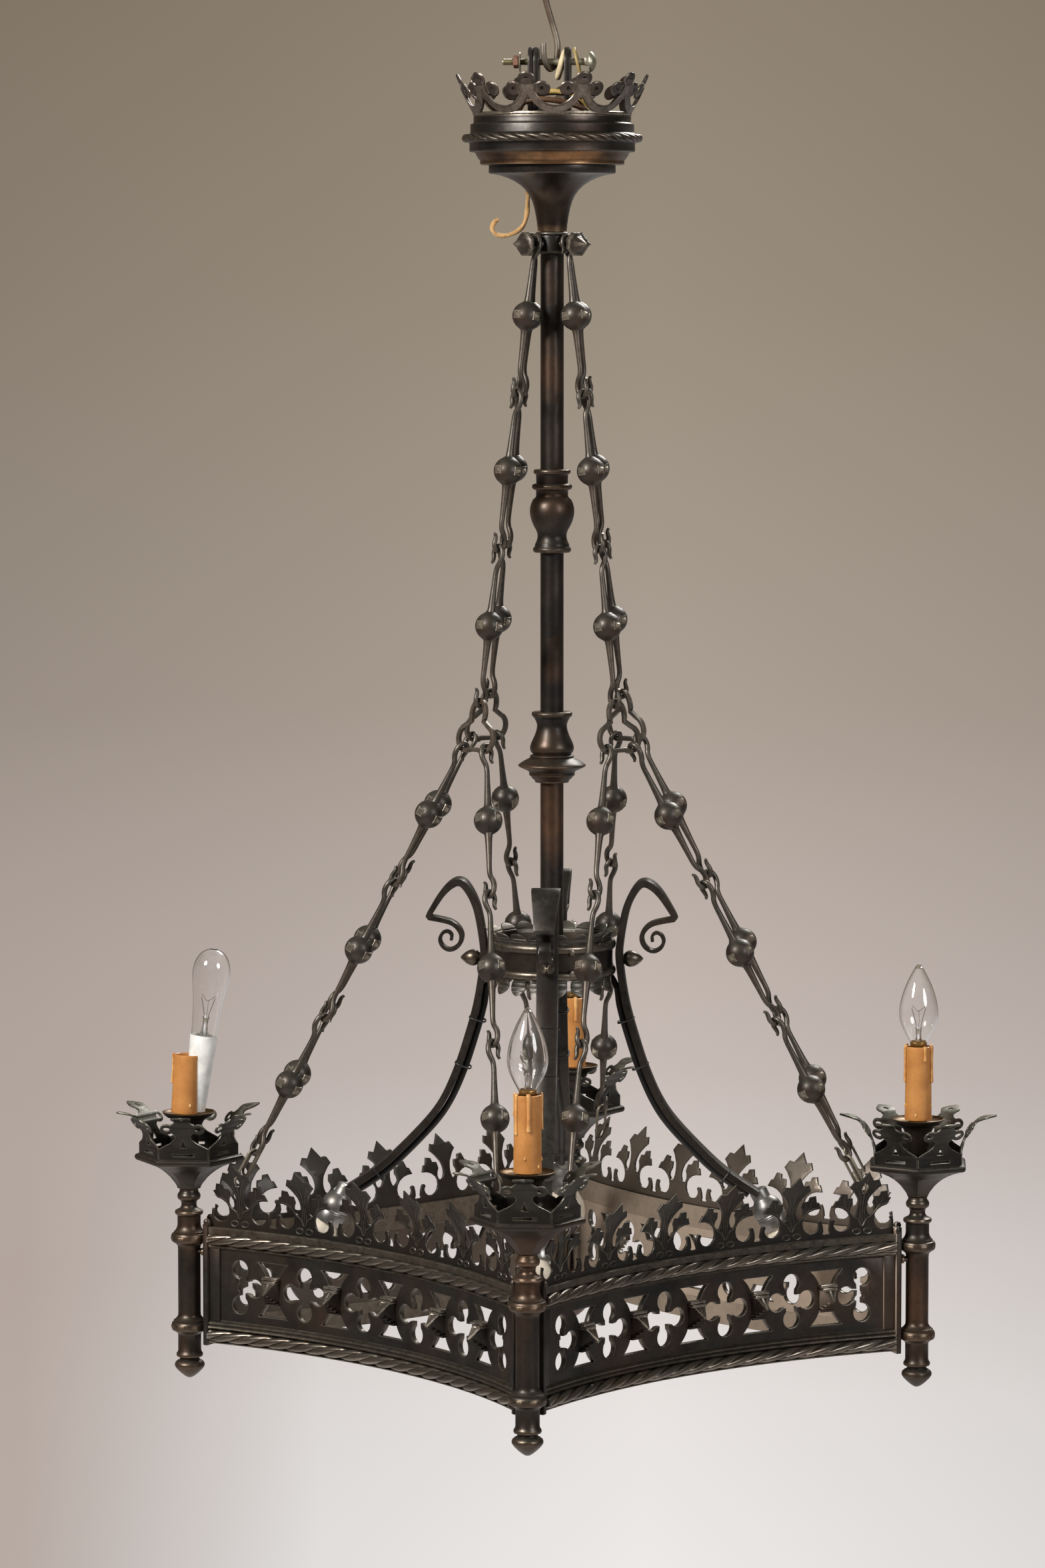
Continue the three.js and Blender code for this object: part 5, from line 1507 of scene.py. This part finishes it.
# %% Canopy bell
BELL_TOP_Z = -163.5
BELL_OUT = [
    (67.9, -163.5), (69.5, -163.6), (69.7, -165), (69.5, -169.2), (70.2, -170.2), (72, -170.8), (72.4, -171.6),
    (72.4, -178), (73.2, -179.2), (76, -180.2),
]
BELL_LOW = [
    (75.6, -186.2), (73.6, -187.2), (73.2, -188.4), (73.3, -193.4), (73.1, -194.8), (72, -195.3), (69.4, -195.4),
    (68.2, -196), (67, -198.4), (65.4, -201), (64, -202.6), (63.8, -203.4), (63.8, -205.8), (63, -206.5),
    (56.8, -206.7), (56.1, -207.2), (56.2, -213.2), (55.6, -214.1), (52, -214.6), (46, -215.8),
    (39.6, -217.9), (33.4, -220.9),
    (28, -224.4), (23.8, -228.4), (20.4, -233), (17.8, -238.4), (15.8, -245), (14.4, -252), (13.4, -259),
    (12.8, -265.2),
]
BELL_INNER = [
    (10.9, -265.2), (12.6, -252), (15.9, -239), (21, -228.4), (30, -220), (38, -216.2), (54, -212.4), (54, -204.8),
    (61.8, -204.4), (66, -193.6), (71, -193), (71, -181), (67.8, -178), (67.9, -163.5),
]
bell_trumpet = iron("canopy_trumpet", (32, 25, 20), (68, 53, 42), (166, 134, 102),
                    (136, 94, 58), edge=0.6, rough=0.3, metal=0.9, dust_and_top_light=0.15)
bell_dark = iron("canopy_bands", (30, 27, 25), (66, 61, 57), (156, 146, 132), (78, 58, 45),
                 edge=0.55, rough=0.34, metal=0.88)
bell_gold = iron("canopy_cavetto", (48, 34, 24), (116, 86, 58), (196, 162, 116), (150, 106, 66),
                 edge=0.6, rough=0.3, metal=0.9)
bands = BELL_OUT + [(76, -181.2), (76, -185.4)] + BELL_LOW[:7]
bell_shapes = [turned(BELL_LOW[17:] + BELL_INNER, 128), paint(turned(bands, 128), 1),
               paint(turned(BELL_LOW[13:18], 128), 1), paint(turned(BELL_LOW[6:14], 128), 3)]


BEAD_R = 76.4
BEAD_Z = -183.2
BEAD_ROPE_R = 3.6
BEAD_TURNS = 13
BEAD_ROWS = 432


def bead_rope():
    """The rope bead round the canopy: three strands, so it reads as a row of slanting grains."""
    turns = [k * 2 * math.pi / BEAD_ROWS for k in range(BEAD_ROWS)]
    path = [(BEAD_R * math.cos(turn), BEAD_R * math.sin(turn), BEAD_Z) for turn in turns]
    twist = [turn * BEAD_TURNS for turn in turns]
    return swept(path, strands(BEAD_ROPE_R, 12), twist=twist, loop=True, fixed=True)


bell_shapes.append(paint(bead_rope(), 2))
piece("canopy_bell_spun", bell_shapes, [bell_trumpet, bell_dark, rubbed, bell_gold], "canopy",
      ["canopy_bell"], angle=40)
print("canopy bell:", len(BELL_OUT) + len(BELL_LOW), "rows")

# %% Coronet
CORONET_COUNT = 10
CORONET_PHASE = -12.6
CORONET_BASE_R = 69.5
CORONET_TIP_R = 86.0
CORONET_TIP_Z = -127.0


def flare(x, y, z):
    """Carries a flat plate onto the coronet: it stands on the canopy's rim and flares outward."""
    out = CORONET_BASE_R - 0.6 + (CORONET_TIP_R - CORONET_BASE_R) * z / (CORONET_TIP_Z - BELL_TOP_Z) + y
    turn = x / CORONET_BASE_R + CORONET_PHASE * DEG
    return out * np.sin(turn), -out * np.cos(turn), BELL_TOP_Z + z + 0.12 * y


def half_ring(middle):
    """An upward-open half ring with a rounded front and a raised lip along its inner edge."""
    pitch = 2 * math.pi * CORONET_BASE_R / CORONET_COUNT
    r = pitch / 2 - 2
    rows = [(middle + r * math.cos(a * DEG), 0, 24.6 + r * 1.03 * math.sin(a * DEG)) for a in range(-182, 3, 8)]
    section = [(3.3, 0.2), (2.9, 1.3), (1.2, 1.9), (-1.2, 1.9), (-2.9, 1.3), (-3.3, 0.2), (-3.1, -1), (3.1, -1)]
    body = swept(rows, section)
    lip = [(middle + (r - 2.8) * math.cos(a * DEG), 1.1, 24.6 + (r - 2.8) * 1.03 * math.sin(a * DEG))
           for a in range(-178, -1, 8)]
    return [body, wire(lip, 0.75, 6, 1)]


def flower(middle):
    """Three round lobes, each with a dimple, joined by a raised knuckle where two half rings meet."""
    shapes = []
    for x, z, r in ((-11.6, 22.2, 6.6), (11.6, 22.2, 6.6), (0, 30.6, 6.5)):
        lobe = turned([(0, -1.4), (r - 0.8, -1.4), (r, -0.6), (r, 0.3), (r - 0.6, 1), (r - 2.2, 1.7), (2.6, 1.9),
                       (1.5, 1.6), (1.1, 0.5), (0.6, 0), (0, -0.1)], 28)
        lobe = put(lobe, tilt=Matrix.Rotation(-90 * DEG, 4, "X"))
        shapes.append(put(lobe, (middle + x, -1.2, z)))
    body = slab([(middle + x, z) for x, z in [(-9, 18.4), (-4, 15.5), (0, 12.5), (4, 15.5), (9, 18.4), (9, 25.6),
                                             (4.6, 26.6), (3.8, 31), (-3.8, 31), (-4.6, 26.6), (-9, 25.6)]], [], 3.2,
                1.2, far=-2.4)
    shapes.append((body[0], body[1]))
    return shapes


coronet_iron = iron("coronet_iron", (34, 30, 28), (76, 69, 65), (170, 158, 144), (88, 64, 51),
                    edge=0.55, rough=0.36, metal=0.85, dust_and_top_light=0.2)
shapes = []
pitch = 2 * math.pi * CORONET_BASE_R / CORONET_COUNT
for i in range(CORONET_COUNT):
    shapes += [reshape(s, flare) for s in half_ring((i + 0.5) * pitch) + flower(i * pitch)]
foot = turned([(67.8, -163.2), (69.9, -163.2), (70.6, -162.2), (70.4, -161), (69.2, -160.4), (67.8, -160.8)], 120,
              ring=True)
shapes.append(paint(foot, 1))
piece("canopy_coronet_flowers", shapes, [coronet_iron, rubbed], "canopy", ["canopy_coronet"], angle=40)
print("coronet:", CORONET_COUNT, "half rings and flowers")

# %% [markdown]
# ## Hanging gear
#
# A hook of grey steel bar ends in a J in which the bolt rests. The bolt passes through the two
# leaves of the fork, with a nut, a thin pale washer, and two loose loops of cream cord and brass
# wire on its right half.

# %% Hook, bolt and fork
BOLT_Z = -116.0
HOOK_ROUTE = [
    (0, 0, -13), (-4, 2, -30), (-8, 4, -48), (-5.5, 6, -64), (-1, 8, -80), (3.8, 8.5, -98), (3.8, 8.5, -110),
    (2.6, 6.6, -117.4), (-1.6, 0, -122.35), (-5.4, -6.4, -117.4), (-7, -8.6, -110), (-7.3, -9, -100),
]
eye = wire([(14 * math.cos(a * DEG), 0, 14 * math.sin(a * DEG)) for a in range(0, 360, 15)], 2.75, 14, 3, loop=True)
shank = wire(HOOK_ROUTE, 2.75, 14, 8, ends=(1, 1, 1, 1, 1, 1, 1, 0.9))
collar = put(turned([(0, -1.6), (3.4, -1.4), (3.9, 0), (3.4, 1.4), (0, 1.6)], 16), (-0.6, 0.4, -17))
piece("hanging_hook_bar", [eye, shank, collar], [steel], "hook", ["hanging_hook"], angle=50)

thread = [(0, -44), (2.3, -44)]
for x in np.arange(-43.4, -21.5, 1.1):
    thread += [(2.5, x), (3, x + 0.55)]
thread += [(2.9, -21), (3, -19), (3, 32.6), (0, 32.6)]
head = [(0, 32.6), (9, 32.8), (9.3, 33.6), (8.8, 35.2), (7, 36.9), (4.4, 38.2), (2, 38.9), (0, 39)]
neck = block((28.6, -3.5, -3.5), (33, 3.5, 3.5), 0.5)
bolt = [put(turned(thread, 20), tilt=SIDEWAYS), put(turned(head, 40), tilt=SIDEWAYS), neck]
bright = iron("zinc_bolt", (96, 92, 74), (170, 166, 140), (226, 222, 204), (150, 136, 96),
              edge=0.5, rough=0.4, metal=0.75)
piece("hanging_bolt_thread", [put(s, (0, 0, BOLT_Z)) for s in bolt], [bright], "fixture", ["hanging_bolt"],
      angle=30)

rusty = iron("rusty_nut", (74, 50, 42), (126, 88, 76), (168, 140, 122), (134, 78, 58),
             edge=0.4, rough=0.6, metal=0.5)
nut_r = 5 / math.cos(30 * DEG)
nut = [(3.2, 0.2), (nut_r - 1, 0), (nut_r, 0.9), (nut_r, 4.1), (nut_r - 1, 5), (3.2, 4.8)]
washer = [(3.3, 0), (8.6, 0), (9, 0.4), (8.6, 0.9), (3.3, 0.9)]
piece("hanging_nut_hex", [put(put(turned(nut, 6, ring=True), tilt=SIDEWAYS), (-34.5, 0, BOLT_Z)),
                          paint(put(put(turned(washer, 36, ring=True), tilt=SIDEWAYS), (-29, 0, BOLT_Z)), 1)],
      [rusty, bright], "fixture", ["hanging_nut"], angle=30)


def fork_leaf(near, far, radius=13.0):
    """A round-topped leaf of thick bar, which the bolt passes through."""
    outline = [(radius * math.cos(a * DEG), BOLT_Z + radius * math.sin(a * DEG)) for a in range(0, 181, 12)]
    outline += [(-radius, -160), (-radius + 1.4, -172), (-radius, -184), (-radius, -202), (radius, -202),
                (radius, -184), (radius - 1.4, -172), (radius, -160)]
    eye_hole = [(3.3 * math.cos(a * DEG), BOLT_Z + 3.3 * math.sin(a * DEG)) for a in range(0, 360, 20)]
    leaf = slab(outline, [eye_hole], far - near, 0.9, far=near)
    return put((leaf[0], leaf[1]), spin=-90)


fork = [fork_leaf(-21, -16.6), fork_leaf(-16.2, -11.3), fork_leaf(11, 16.5),
        block((-21, -13, -204), (16.5, 13, -196), 1)]
fork.append(turned([(0, -222.3), (7, -222.3), (7.6, -221), (7.6, -200), (0, -200)], 28))
piece("hanger_fork_bars", fork, [black_iron], "fixture", ["hanger_fork"], angle=30)

cord = glazed("cream_cord", colour(214, 196, 158), 0.8)
golden = glazed("brass_wire", colour(158, 136, 84), 0.45)


def bolt_loop(x, radius, thick, lean_x, drop):
    ring = []
    for a in range(0, 360, 20):
        up = radius * math.sin(a * DEG) - drop
        ring.append((x + lean_x * math.sin(a * DEG), radius * 0.8 * math.cos(a * DEG), BOLT_Z + up))
    return wire(ring, thick, 10, 2, loop=True)


loops = [paint(bolt_loop(8.2, 11.4, 2.5, 3.2, 2.4), 0), paint(bolt_loop(22.6, 13, 1.3, -3.0, 1.2), 1)]
piece("bolt_loops", loops, [cord, golden], "fixture", [], angle=60)
brown_cable = glazed("brown_cable", colour(92, 64, 42), 0.5)
yellow_cable = glazed("yellow_cable", colour(186, 158, 92), 0.5)
cables = [
    wire([(-40, -8, -174), (-34, -22, -158), (-14, -34, -150), (12, -34, -152), (32, -22, -160), (40, -6, -176)],
         2.6),
    paint(wire([(38, -2, -176), (30, -22, -152), (8, -30, -143), (-16, -28, -146), (-32, -16, -162), (-36, 4, -178)],
               2.2), 1),
    wire([(-36, 10, -176), (-26, 26, -150), (0, 32, -142), (24, 26, -150), (36, 8, -176)], 2.4),
]
piece("supply_cables", cables, [brown_cable, yellow_cable], "canopy", [], angle=60)
print("hanging gear made")
